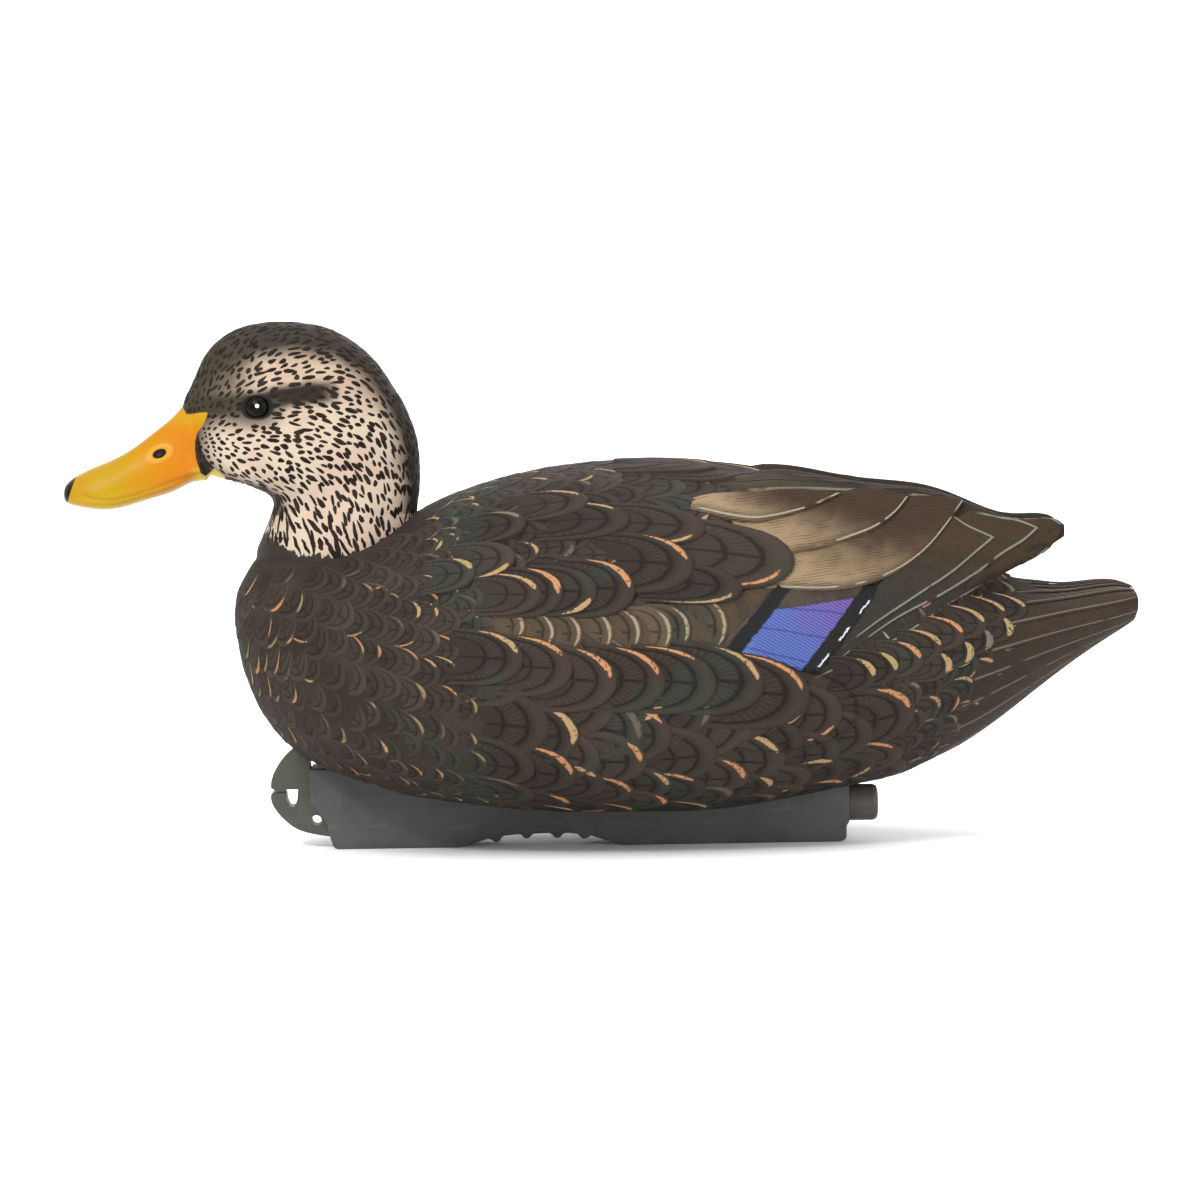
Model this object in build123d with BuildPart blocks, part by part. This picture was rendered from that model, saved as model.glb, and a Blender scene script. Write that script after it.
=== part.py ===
"""Floating duck decoy on a weighted keel, in millimetres.

The bill points along -X, the tail along +X, the duck's right side along +Y and +Z is up.
The origin is on the floor, under the middle of the overall length, and the keel stands on z = 0.
"""

from build123d import *

import os
from math import copysign, cos, pi, sin

os.makedirs("parts", exist_ok=True)

# Driving dimensions.
WALL = 2.5
RUN = 0.3
SLIDE = 0.1
CUT_PAST = 1.0
UPWARD = (Align.CENTER, Align.CENTER, Align.MIN)

# The hull and head are drawn level and then trimmed by this angle, so that the keel stands flat.
TRIM = Location((-1.8, 0, -2.15), (0, 0.9, 0))

NECK_X = -118.2
NECK_R = 36.7
NECK_TOP_Z = 130.0
SOCKET_FLOOR_Z = 118.0
SOCKET_FLOOR = 3.0
SOCKET_TOP_Z = 160.0
WASHER = 0.8
WASHER_HOLE_R = 28.2
WASHER_R = 36.0
SPIGOT_R = 27.52
SPIGOT_WALL = 5.0
SPIGOT_BOTTOM_Z = 106.0
SPIGOT_HOLE_R = 27.6
RING_GROOVE_R = 25.6
RING_OUT_R = 31.5
RING_THICK = 1.8
RING_GAP = 14.0

KEEL_WIDE = 26.0
KEEL_FRONT_X = -131.5
KEEL_REAR_X = 110.4
KEEL_WALL = 3.0
CHANNEL_WALL = 2.6
BALLAST_GAP = 0.2
FRONT_BALLAST_REAR_X = -34.0
REAR_BALLAST_FRONT_X = 36.0

TAB_WIDE = 12.0
TONGUE_WIDE = 6.0
TONGUE_REAR_X = -121.0
TONGUE_LOW_Z = 24.0
TONGUE_HIGH_Z = 33.0
TONGUE_GAP = 0.05
LINE_HOLE_X = -129.2
LINE_HOLE_Z = 12.5
LINE_HOLE_R = 2.3
SLIT_LOW_Z = 25.0
SLIT_HIGH_Z = 25.8
SLIT_PAST = 3.0

PLUG_Z = 16.35
PLUG_R = 8.2
PLUG_BORE_R = 6.8
PLUG_SHANK_R = 6.72
PLUG_FRONT_X = 97.0
PLUG_REAR_X = 123.8
PLUG_RING_X = 102.0
PLUG_RING_GROOVE_R = 5.6
PLUG_RING_R = 6.75
PLUG_RING_WIDE = 2.4
PLUG_LEAD = 1.0
PLUG_ROUND = 2.4
PLUG_EASE = 0.7

SCREW_R = 1.9
SCREW_PILOT_R = 2.0
SCREW_HOLE_R = 2.3
SCREW_HEAD_R = 4.0
SCREW_HEAD = 3.0
SCREW_HEAD_BORE_R = 4.6
SCREW_POST_R = 6.0
SCREW_DRIVE_WIDE = 1.2
SCREW_DRIVE_LONG = 5.6
SCREW_DRIVE_DEEP = 1.5
BOSS_R = 5.5
SEAL = 1.0
SEAL_HOLE_R = 2.1
SEAL_R = 4.2
SEAL_RECESS_R = 4.4
# x, height of the keel's top there, height of the shoulder the head pulls on, height of the tip.
SCREWS = [(-112.0, 36.3, 20.0, 48.0), (-27.7, 28.0, 16.0, 41.0), (60.0, 28.0, 14.0, 40.0)]

EYE_X = -150.8
EYE_Z = 199.1
EYE_R = 4.9
EYE_SOCKET_R = 5.0
EYE_BACK_Y = 20.0
EYE_RIM_Y = 22.4
EYE_TOP_Y = 24.8
EYE_PAD_R = 7.0
EYE_PAD_BACK_Y = 17.6
EYE_PAD_FRONT_Y = 21.0

# Hull stations: x, lowest z, highest z, half width, z of the widest place, fullness above, fullness below.
HULL = [
    (-163.4, 99.0, 113.0, 8.0, 106.0, 2.0, 2.0),
    (-161.5, 87.5, 119.0, 19.0, 104.0, 2.0, 2.0),
    (-157.0, 73.0, 127.0, 32.0, 100.0, 2.0, 2.0),
    (-148.0, 56.0, 136.5, 47.5, 94.0, 2.0, 2.0),
    (-134.0, 42.5, 139.5, 62.0, 87.0, 2.0, 2.1),
    (-117.0, 34.5, 140.5, 73.5, 81.0, 2.0, 2.2),
    (-96.0, 28.0, 145.5, 81.5, 76.0, 2.0, 2.3),
    (-72.0, 23.3, 156.5, 86.5, 73.0, 2.05, 2.4),
    (-45.0, 20.3, 166.0, 89.0, 71.0, 2.1, 2.4),
    (-10.0, 18.5, 172.8, 90.5, 70.0, 2.1, 2.4),
    (25.0, 18.2, 173.8, 89.5, 71.0, 2.1, 2.4),
    (60.0, 19.8, 171.0, 86.0, 73.0, 2.0, 2.3),
    (95.0, 26.0, 166.0, 78.0, 77.0, 1.85, 2.2),
    (125.0, 31.5, 160.0, 67.5, 82.0, 1.75, 2.1),
    (150.0, 41.0, 149.0, 56.5, 87.5, 1.75, 2.0),
    (165.0, 49.5, 133.0, 49.5, 91.5, 1.9, 2.0),
    (180.0, 60.0, 124.0, 43.0, 96.0, 2.1, 2.0),
    (200.0, 76.0, 119.0, 35.5, 102.5, 2.1, 2.0),
    (220.0, 91.0, 119.5, 30.5, 108.5, 2.2, 2.0),
    (233.0, 99.5, 119.5, 27.0, 111.0, 2.3, 2.0),
    (240.0, 104.5, 116.5, 22.0, 111.5, 2.3, 2.0),
]
HULL_CAVITY = HULL[2:-4]

# Folded wing stations: x, y and z of the middle, half height, half thickness, lean out from upright.
WING = [
    (10.0, 50.0, 120.0, 20.0, 8.0, 42.0),
    (40.0, 53.0, 130.0, 39.0, 10.0, 38.0),
    (70.0, 52.5, 133.5, 45.0, 10.5, 34.0),
    (100.0, 49.5, 131.0, 44.0, 10.0, 31.0),
    (135.0, 41.5, 134.2, 34.0, 8.5, 28.0),
    (160.0, 34.5, 138.0, 22.5, 6.5, 24.0),
    (180.0, 28.5, 138.5, 13.0, 4.6, 20.0),
    (197.0, 22.5, 142.5, 7.5, 3.2, 14.0),
    (207.0, 18.0, 144.0, 2.6, 1.6, 8.0),
]

# Head stations, from the neck up: z, front x, back x, half width, widest place as a share of the length.
HEAD = [
    (128.0, -154.5, -82.4, 36.0, 0.50),
    (133.0, -154.3, -82.4, 35.8, 0.50),
    (139.0, -152.3, -82.3, 34.5, 0.50),
    (146.0, -149.3, -82.2, 31.8, 0.51),
    (153.0, -146.8, -82.1, 29.2, 0.52),
    (158.5, -148.0, -81.4, 27.8, 0.54),
    (162.5, -156.0, -80.9, 27.2, 0.56),
    (166.0, -168.5, -80.8, 27.0, 0.58),
    (170.0, -179.5, -80.8, 27.0, 0.58),
    (176.0, -185.5, -81.0, 27.0, 0.58),
    (186.0, -187.0, -82.5, 26.6, 0.58),
    (197.0, -187.0, -86.5, 25.4, 0.58),
    (207.0, -184.0, -92.3, 23.9, 0.58),
    (216.0, -180.0, -98.1, 21.5, 0.58),
    (225.0, -174.6, -106.7, 17.6, 0.56),
    (231.0, -167.5, -115.5, 13.0, 0.54),
    (235.2, -157.5, -126.5, 7.2, 0.52),
    (236.7, -149.0, -136.0, 2.5, 0.50),
]
HEAD_CAVITY = HEAD[:-4]

# The bill's fullness above and below its widest place, then its stations, from the tip back:
# x, lowest z, highest z, half width, z of the widest place.
BILL_ABOVE = 2.0
BILL_BELOW = 2.5
BILL = [
    (-240.6, 157.6, 161.6, 3.0, 159.6),
    (-239.2, 155.4, 164.2, 6.4, 159.2),
    (-234.5, 153.9, 167.8, 10.0, 158.4),
    (-226.8, 152.6, 171.5, 12.4, 157.6),
    (-216.0, 153.1, 176.2, 12.7, 158.2),
    (-205.2, 156.2, 183.2, 11.4, 161.0),
    (-196.0, 159.0, 190.4, 11.0, 165.0),
    (-188.0, 162.3, 198.2, 11.8, 169.5),
    (-176.0, 165.5, 200.0, 14.0, 175.0),
]

# The keel's top, which the hull's channel shares: a high front, then level, then rising to the rear.
KEEL_TOP = [
    (KEEL_FRONT_X, 36.3),
    (-98.0, 36.3),
    (-56.0, 28.0),
    (70.0, 28.0),
    (KEEL_REAR_X, 31.5),
]
# The rest of the keel's outline, from the rear foot forward: two flat feet with a low arch between them.
KEEL_UNDERSIDE = [
    (KEEL_REAR_X, 8.4),
    (109.2, 7.8),
    (109.2, 2.2),
    (108.4, 0.6),
    (106.8, 0.0),
    (8.2, 0.0),
    (0.5, 2.4),
    (-6.0, 4.6),
    (-16.0, 5.7),
    (-36.0, 5.7),
    (-44.0, 4.9),
    (-52.0, 3.6),
    (-65.0, 0.0),
    (-119.4, 0.0),
    (-121.4, 1.0),
    (-122.6, 4.3),
    (-124.0, 11.5),
    (KEEL_FRONT_X, 21.5),
]
ARCH_BUMPS = [(-48.3, 4.2), (-34.6, 5.6), (-20.8, 5.6), (-8.6, 5.0)]
ARCH_BUMP_R = 2.2
FRONT_CHAMBER = [
    (-104.0, 3.0),
    (-65.5, 3.0),
    (-52.0, 6.8),
    (FRONT_BALLAST_REAR_X, 8.7),
    (FRONT_BALLAST_REAR_X, 25.0),
    (-56.5, 25.0),
    (-98.5, 33.0),
    (-104.0, 33.0),
]
REAR_CHAMBER = [
    (-21.4, 8.7),
    (-15.0, 8.7),
    (-5.0, 7.6),
    (1.0, 5.2),
    (9.0, 3.0),
    (92.0, 3.0),
    (92.0, 26.5),
    (70.5, 25.0),
    (-21.4, 25.0),
]
# The tab's nose, above and below the notch where the line slips in.
NOSE_ABOVE = [(-139.0, 44.9), (-143.8, 40.6), (-147.0, 36.1), (-148.9, 31.7), (-149.4, 27.6)]
NOTCH_IN = (-147.4, 26.0)
NOSE_BELOW = [
    (-149.3, 24.6),
    (-149.4, 22.0),
    (-147.8, 18.1),
    (-144.2, 13.6),
    (-138.5, 9.0),
    (-130.5, 6.3),
    (-122.9, 5.0),
]
# The tab's back edge, which lies against the keel's nose.
TAB_BACK = [(-124.1, 11.5), (KEEL_FRONT_X - TONGUE_GAP, 21.45), (KEEL_FRONT_X - TONGUE_GAP, 39.4)]
LINE_SLOT = [(-142.8, 26.6), (-137.2, 26.6), (-137.7, 21.8), (-138.9, 19.0), (-141.2, 19.0), (-142.4, 21.8)]


def station_points(low, high, half, middle, above, below, count=20):
    """Points round a closed section that is round below and above its widest place."""
    points = []
    for step in range(count):
        turn = 2 * pi * (step + 0.5) / count - pi / 2
        upper = sin(turn) > 0
        power = 2 / (above if upper else below)
        reach = high - middle if upper else middle - low
        across = copysign(abs(cos(turn)) ** power, cos(turn))
        up = copysign(abs(sin(turn)) ** power, sin(turn))
        points.append((half * across, middle + reach * up))
    return points


def level_points(front, back, half, share, count=20):
    """Points round a level section of the head, widest at a share of its length from the front."""
    widest = front + (back - front) * share
    points = []
    for step in range(count):
        turn = 2 * pi * (step + 0.5) / count
        reach = back - widest if cos(turn) > 0 else widest - front
        points.append((widest + reach * cos(turn), half * sin(turn)))
    return points


def leaning_points(y, z, tall, thick, lean, count=14):
    """Points round an upright oval whose top leans towards the middle of the body."""
    points = []
    for step in range(count):
        turn = 2 * pi * (step + 0.5) / count
        point = Vector(thick * cos(turn), tall * sin(turn)).rotate(Axis.Z, lean)
        points.append((y + point.X, z + point.Y))
    return points


def inset(station, wall):
    """A hull station moved inward by a wall thickness."""
    x, low, high, half, middle, above, below = station
    return (x, low + wall, high - wall, half - wall, middle, above, below)


# Hull: the blow-moulded body with its folded wings, neck socket and keel channel.
with BuildPart() as hull_outside:
    for x, *section in HULL:
        with BuildSketch(Plane.YZ.offset(x)):
            with BuildLine():
                Spline(*station_points(*section), periodic=True)
            make_face()
    loft()

with BuildPart() as hull_inside:
    for x, *section in [inset(station, WALL) for station in HULL_CAVITY]:
        with BuildSketch(Plane.YZ.offset(x)):
            with BuildLine():
                Spline(*station_points(*section), periodic=True)
            make_face()
    loft()

with BuildPart() as right_wing:
    for x, y, z, tall, thick, lean in WING:
        with BuildSketch(Plane.YZ.offset(x)):
            with BuildLine():
                Spline(*leaning_points(y, z, tall, thick, lean), periodic=True)
            make_face()
    loft()

with BuildPart() as neck_cup:
    with BuildSketch(Plane.XY.offset(SOCKET_FLOOR_Z - SOCKET_FLOOR)):
        with Locations((NECK_X, 0)):
            Circle(NECK_R + RUN + WALL)
    extrude(amount=SOCKET_TOP_Z - SOCKET_FLOOR_Z)
    add(hull_outside.part.moved(TRIM), mode=Mode.INTERSECT)

with BuildPart() as keel_channel:
    with BuildSketch(Plane.XZ.offset(-KEEL_WIDE / 2 - CHANNEL_WALL)):
        with BuildLine():
            Polyline(
                (KEEL_FRONT_X - CHANNEL_WALL, 0),
                (KEEL_FRONT_X - CHANNEL_WALL, KEEL_TOP[0][1] + CHANNEL_WALL),
                *[(x, z + CHANNEL_WALL) for x, z in KEEL_TOP[1:]],
                (KEEL_REAR_X + CHANNEL_WALL, KEEL_TOP[-1][1] + CHANNEL_WALL),
                (KEEL_REAR_X + CHANNEL_WALL, 0),
                close=True,
            )
        make_face()
    extrude(amount=KEEL_WIDE + 2 * CHANNEL_WALL)
    add(hull_outside.part.moved(TRIM), mode=Mode.INTERSECT)

with BuildPart() as channel_room:
    with BuildSketch(Plane.XZ.offset(-KEEL_WIDE / 2 - RUN)):
        with BuildLine():
            Polyline(
                (KEEL_FRONT_X - RUN, 0),
                (KEEL_FRONT_X - RUN, KEEL_TOP[0][1]),
                *KEEL_TOP[1:],
                (KEEL_REAR_X + RUN, KEEL_TOP[-1][1]),
                (KEEL_REAR_X + RUN, 0),
                close=True,
            )
        make_face()
    extrude(amount=KEEL_WIDE + 2 * RUN)

with BuildPart() as body_shell:
    add(hull_outside.part.moved(TRIM))
    add(right_wing.part.moved(TRIM))
    add(mirror(right_wing.part.moved(TRIM), about=Plane.XZ, mode=Mode.PRIVATE))
    add(hull_inside.part.moved(TRIM), mode=Mode.SUBTRACT)
    add(neck_cup.part)
    add(keel_channel.part)
    for x, top, _, tip in SCREWS:
        with BuildSketch(Plane.XY.offset(top)):
            with Locations((x, 0)):
                Circle(BOSS_R)
        extrude(amount=tip + 2 * WALL - top)
    add(channel_room.part, mode=Mode.SUBTRACT)
    for x, top, _, tip in SCREWS:
        with BuildSketch(Plane.XY.offset(top - WALL)):
            with Locations((x, 0)):
                Circle(SCREW_PILOT_R)
        extrude(amount=tip + WALL + CUT_PAST - top, mode=Mode.SUBTRACT)
    with BuildSketch(Plane.XY.offset(SOCKET_FLOOR_Z)):
        with Locations((NECK_X, 0)):
            Circle(NECK_R + RUN)
    extrude(amount=SOCKET_TOP_Z - SOCKET_FLOOR_Z, mode=Mode.SUBTRACT)
    with BuildSketch(Plane.XY.offset(SOCKET_FLOOR_Z - 2 * SOCKET_FLOOR)):
        with Locations((NECK_X, 0)):
            Circle(SPIGOT_HOLE_R)
    extrude(amount=3 * SOCKET_FLOOR, mode=Mode.SUBTRACT)

# Flat thrust washer between the socket's floor and the neck.
with BuildPart() as neck_washer:
    with BuildSketch(Plane.XY.offset(SOCKET_FLOOR_Z)):
        with Locations((NECK_X, 0)):
            Circle(WASHER_R)
            Circle(WASHER_HOLE_R, mode=Mode.SUBTRACT)
    extrude(amount=WASHER)

# Keel: one hollow moulding with two ballast chambers, a solid nose, screw posts and a plug bore.
with BuildPart() as keel_shell:
    with BuildSketch(Plane.XZ.offset(-KEEL_WIDE / 2)):
        with BuildLine():
            Polyline(*KEEL_TOP, *KEEL_UNDERSIDE, close=True)
        make_face()
        with Locations(*ARCH_BUMPS):
            Circle(ARCH_BUMP_R)
    extrude(amount=KEEL_WIDE)
    with BuildSketch(Plane.XZ.offset(-KEEL_WIDE / 2 + KEEL_WALL)):
        with BuildLine():
            Polyline(*FRONT_CHAMBER, close=True)
        make_face()
        with BuildLine():
            Polyline(*REAR_CHAMBER, close=True)
        make_face()
    extrude(amount=KEEL_WIDE - 2 * KEEL_WALL, mode=Mode.SUBTRACT)
    post_x, post_top = SCREWS[-1][:2]
    with BuildSketch(Plane.XY.offset(KEEL_WALL / 2)):
        with Locations((post_x, 0)):
            Circle(SCREW_POST_R)
    extrude(amount=post_top - KEEL_WALL)
    for x, top, shoulder, _ in SCREWS:
        with Locations(Location((x, 0, 0))):
            Cylinder(SCREW_HOLE_R, top + CUT_PAST, align=UPWARD, mode=Mode.SUBTRACT)
            Cylinder(SCREW_HEAD_BORE_R, shoulder, align=UPWARD, mode=Mode.SUBTRACT)
        with Locations(Location((x, 0, top - SEAL))):
            Cylinder(SEAL_RECESS_R, SEAL + CUT_PAST, align=UPWARD, mode=Mode.SUBTRACT)
    chamber_rear_x = max(x for x, z in REAR_CHAMBER)
    with BuildSketch(Plane.YZ.offset(chamber_rear_x - CUT_PAST)):
        with Locations((0, PLUG_Z)):
            Circle(PLUG_BORE_R)
    extrude(amount=KEEL_REAR_X - chamber_rear_x + 2 * CUT_PAST, mode=Mode.SUBTRACT)
    with BuildSketch(Plane.XZ.offset(-TONGUE_WIDE / 2 - TONGUE_GAP)):
        with Locations(((KEEL_FRONT_X + TONGUE_REAR_X) / 2, (TONGUE_LOW_Z + TONGUE_HIGH_Z) / 2)):
            Rectangle(
                TONGUE_REAR_X - KEEL_FRONT_X + 2 * TONGUE_GAP,
                TONGUE_HIGH_Z - TONGUE_LOW_Z + 2 * TONGUE_GAP,
            )
    extrude(amount=TONGUE_WIDE + 2 * TONGUE_GAP, mode=Mode.SUBTRACT)

# Flat nose tab for the anchor line: a hole to tie it through and a slot that it slips into.
with BuildPart() as anchor_tab:
    with BuildSketch(Plane.XZ.offset(-TAB_WIDE / 2)):
        with BuildLine():
            Spline(*NOSE_ABOVE)
            Line(NOSE_ABOVE[-1], NOTCH_IN)
            Line(NOTCH_IN, NOSE_BELOW[0])
            Spline(*NOSE_BELOW)
            Polyline(NOSE_BELOW[-1], *TAB_BACK, NOSE_ABOVE[0])
        make_face()
        with BuildLine(mode=Mode.PRIVATE) as slot_line:
            Polyline(*LINE_SLOT, close=True)
        make_face(slot_line.edges(), mode=Mode.SUBTRACT)
        with Locations(((NOTCH_IN[0] + LINE_SLOT[0][0]) / 2, (SLIT_LOW_Z + SLIT_HIGH_Z) / 2)):
            Rectangle(
                LINE_SLOT[0][0] - NOTCH_IN[0] + SLIT_PAST,
                SLIT_HIGH_Z - SLIT_LOW_Z,
                mode=Mode.SUBTRACT,
            )
        with Locations((LINE_HOLE_X, LINE_HOLE_Z)):
            Circle(LINE_HOLE_R, mode=Mode.SUBTRACT)
    extrude(amount=TAB_WIDE)
    with BuildSketch(Plane.XZ.offset(-TONGUE_WIDE / 2)):
        with Locations(((KEEL_FRONT_X + TONGUE_REAR_X) / 2, (TONGUE_LOW_Z + TONGUE_HIGH_Z) / 2)):
            Rectangle(TONGUE_REAR_X - KEEL_FRONT_X + 2 * TONGUE_GAP, TONGUE_HIGH_Z - TONGUE_LOW_Z)
    extrude(amount=TONGUE_WIDE)

# Ballast: two cast blocks that fill the chambers, about three fifths of it ahead of the middle.
with BuildPart() as front_ballast:
    with BuildSketch(Plane.XZ.offset(-KEEL_WIDE / 2 + KEEL_WALL + BALLAST_GAP)):
        with BuildLine():
            Polyline(*FRONT_CHAMBER, close=True)
        make_face()
        offset(amount=-BALLAST_GAP)
    extrude(amount=KEEL_WIDE - 2 * KEEL_WALL - 2 * BALLAST_GAP)

with BuildPart() as rear_ballast:
    with BuildSketch(Plane.XZ.offset(-KEEL_WIDE / 2 + KEEL_WALL + BALLAST_GAP)):
        with BuildLine():
            Polyline(*REAR_CHAMBER, close=True)
        make_face()
        offset(amount=-BALLAST_GAP)
    extrude(amount=KEEL_WIDE - 2 * KEEL_WALL - 2 * BALLAST_GAP)
    split(bisect_by=Plane.YZ.offset(REAR_BALLAST_FRONT_X), keep=Keep.TOP)
    with Locations(Location((post_x, 0, 0))):
        Cylinder(SCREW_POST_R + BALLAST_GAP, post_top, align=UPWARD, mode=Mode.SUBTRACT)

# Keel screws, driven up from below, and the soft washers that keep water out of the hull.
with BuildPart() as keel_screws:
    for x, _, shoulder, tip in SCREWS:
        with Locations(Location((x, 0, shoulder - SCREW_HEAD))):
            Cylinder(SCREW_HEAD_R, SCREW_HEAD, align=UPWARD)
            Cylinder(SCREW_R, tip - shoulder + SCREW_HEAD, align=UPWARD)
            Box(SCREW_DRIVE_LONG, SCREW_DRIVE_WIDE, 2 * SCREW_DRIVE_DEEP, mode=Mode.SUBTRACT)
            Box(SCREW_DRIVE_WIDE, SCREW_DRIVE_LONG, 2 * SCREW_DRIVE_DEEP, mode=Mode.SUBTRACT)

with BuildPart() as screw_seals:
    for x, top, *_ in SCREWS:
        with BuildSketch(Plane.XY.offset(top - SEAL)):
            with Locations((x, 0)):
                Circle(SEAL_R)
                Circle(SEAL_HOLE_R, mode=Mode.SUBTRACT)
        extrude(amount=SEAL)

# Ballast plug: a round cap behind the keel, on a shank that slides into the filling hole.
with BuildPart() as ballast_plug:
    with BuildSketch(Plane.XZ):
        with BuildLine():
            Polyline(
                (PLUG_FRONT_X, PLUG_Z),
                (PLUG_FRONT_X, PLUG_Z + PLUG_SHANK_R - PLUG_LEAD),
                (PLUG_FRONT_X + PLUG_LEAD, PLUG_Z + PLUG_SHANK_R),
                (PLUG_RING_X - PLUG_RING_WIDE / 2, PLUG_Z + PLUG_SHANK_R),
                (PLUG_RING_X - PLUG_RING_WIDE / 2, PLUG_Z + PLUG_RING_GROOVE_R),
                (PLUG_RING_X + PLUG_RING_WIDE / 2, PLUG_Z + PLUG_RING_GROOVE_R),
                (PLUG_RING_X + PLUG_RING_WIDE / 2, PLUG_Z + PLUG_SHANK_R),
                (KEEL_REAR_X + RUN, PLUG_Z + PLUG_SHANK_R),
                (KEEL_REAR_X + RUN, PLUG_Z + PLUG_R),
                (PLUG_REAR_X - PLUG_ROUND, PLUG_Z + PLUG_R),
                (PLUG_REAR_X - PLUG_EASE, PLUG_Z + PLUG_R - PLUG_EASE),
                (PLUG_REAR_X, PLUG_Z + PLUG_R - PLUG_ROUND),
                (PLUG_REAR_X, PLUG_Z),
                close=True,
            )
        make_face()
    revolve(axis=Axis((0, 0, PLUG_Z), (1, 0, 0)))

with BuildPart() as plug_seal:
    with BuildSketch(Plane.YZ.offset(PLUG_RING_X - PLUG_RING_WIDE / 2 + SLIDE)):
        with Locations((0, PLUG_Z)):
            Circle(PLUG_RING_R)
            Circle(PLUG_RING_GROOVE_R, mode=Mode.SUBTRACT)
    extrude(amount=PLUG_RING_WIDE - 2 * SLIDE)

# Head: a hollow moulding with the bill, a round neck root that turns in the socket, and a spigot below it.
neck_bottom = SOCKET_FLOOR_Z + WASHER + SLIDE
with BuildPart() as head_column:
    for z, front, back, half, share in HEAD:
        with BuildSketch(Plane.XY.offset(z)):
            with BuildLine():
                Spline(*level_points(front, back, half, share), periodic=True)
            make_face()
    loft()

with BuildPart() as head_inside:
    for z, front, back, half, share in HEAD_CAVITY:
        with BuildSketch(Plane.XY.offset(z)):
            with BuildLine():
                Spline(*level_points(front + WALL, back - WALL, half - WALL, share), periodic=True)
            make_face()
    loft()

with BuildPart() as bill:
    for x, low, high, half, middle in BILL:
        with BuildSketch(Plane.YZ.offset(x)):
            with BuildLine():
                Spline(*station_points(low, high, half, middle, BILL_ABOVE, BILL_BELOW), periodic=True)
            make_face()
    loft()

with BuildPart() as head_shell:
    add(head_column.part.moved(TRIM))
    with BuildSketch(Plane.XY.offset(neck_bottom)):
        with Locations((NECK_X, 0)):
            Circle(NECK_R)
    extrude(amount=NECK_TOP_Z - neck_bottom)
    add(head_inside.part.moved(TRIM), mode=Mode.SUBTRACT)
    with BuildSketch(Plane.XY.offset(neck_bottom + WALL)):
        with Locations((NECK_X, 0)):
            Circle(NECK_R - 2 * WALL)
    extrude(amount=NECK_TOP_Z - neck_bottom, mode=Mode.SUBTRACT)
    add(bill.part.moved(TRIM))
    for side in (1, -1):
        with BuildSketch(Plane.XZ.offset(-side * EYE_PAD_BACK_Y)):
            with Locations((EYE_X, EYE_Z)):
                Circle(EYE_PAD_R)
        extrude(amount=-side * (EYE_PAD_FRONT_Y - EYE_PAD_BACK_Y))
        with BuildSketch(Plane.XZ.offset(-side * EYE_BACK_Y)):
            with Locations((EYE_X, EYE_Z)):
                Circle(EYE_SOCKET_R)
        extrude(amount=-side * (EYE_TOP_Y - EYE_BACK_Y), mode=Mode.SUBTRACT)
    with BuildSketch(Plane.XY.offset(SPIGOT_BOTTOM_Z)):
        with Locations((NECK_X, 0)):
            Circle(SPIGOT_R)
    extrude(amount=neck_bottom + WALL - SPIGOT_BOTTOM_Z)
    with BuildSketch(Plane.XY.offset(SPIGOT_BOTTOM_Z)):
        with Locations((NECK_X, 0)):
            Circle(SPIGOT_R - SPIGOT_WALL)
    extrude(amount=neck_bottom + WALL - SPIGOT_BOTTOM_Z, mode=Mode.SUBTRACT)
    with BuildSketch(Plane.XY.offset(SOCKET_FLOOR_Z - SOCKET_FLOOR - RING_THICK - 2 * SLIDE)):
        with Locations((NECK_X, 0)):
            Circle(SPIGOT_R + CUT_PAST)
            Circle(RING_GROOVE_R, mode=Mode.SUBTRACT)
    extrude(amount=RING_THICK + SLIDE, mode=Mode.SUBTRACT)

# Snap ring in the spigot's groove, under the socket's floor: it keeps the head in and lets it turn.
with BuildPart() as neck_lock_ring:
    with BuildSketch(Plane.XY.offset(SOCKET_FLOOR_Z - SOCKET_FLOOR - RING_THICK - 1.5 * SLIDE)):
        with Locations((NECK_X, 0)):
            Circle(RING_OUT_R)
            Circle(RING_GROOVE_R + SLIDE, mode=Mode.SUBTRACT)
        with Locations((NECK_X - RING_OUT_R, 0)):
            Rectangle(RING_OUT_R, RING_GAP, mode=Mode.SUBTRACT)
    extrude(amount=RING_THICK)

# Eyes: domed lenses glued into shallow sockets on pads inside the head.
dome = EYE_TOP_Y - EYE_RIM_Y
dome_r = (EYE_R**2 + dome**2) / (2 * dome)
with BuildPart() as eye_right:
    with BuildSketch(Plane.XY.offset(EYE_Z)):
        with BuildLine():
            Polyline(
                (EYE_X, EYE_TOP_Y),
                (EYE_X, EYE_BACK_Y),
                (EYE_X + EYE_R, EYE_BACK_Y),
                (EYE_X + EYE_R, EYE_RIM_Y),
            )
            RadiusArc((EYE_X + EYE_R, EYE_RIM_Y), (EYE_X, EYE_TOP_Y), -dome_r)
        make_face()
    revolve(axis=Axis((EYE_X, 0, EYE_Z), (0, 1, 0)))

with BuildPart() as eye_left:
    add(mirror(eye_right.part, about=Plane.XZ, mode=Mode.PRIVATE))

PIECES = {
    "body_shell": body_shell,
    "neck_washer": neck_washer,
    "keel_shell": keel_shell,
    "anchor_tab": anchor_tab,
    "front_ballast": front_ballast,
    "rear_ballast": rear_ballast,
    "keel_screws": keel_screws,
    "screw_seals": screw_seals,
    "ballast_plug": ballast_plug,
    "plug_seal": plug_seal,
    "head_shell": head_shell,
    "neck_lock_ring": neck_lock_ring,
    "eye_right": eye_right,
    "eye_left": eye_left,
}
for name, piece in PIECES.items():
    piece.part.label = name
    export_step(piece.part, f"parts/{name}.step")
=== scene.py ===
from math import cos, pi, radians, sin, tan

import bmesh
import bpy
import numpy as np
from mathutils import Matrix, Vector
from mathutils.bvhtree import BVHTree


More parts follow.
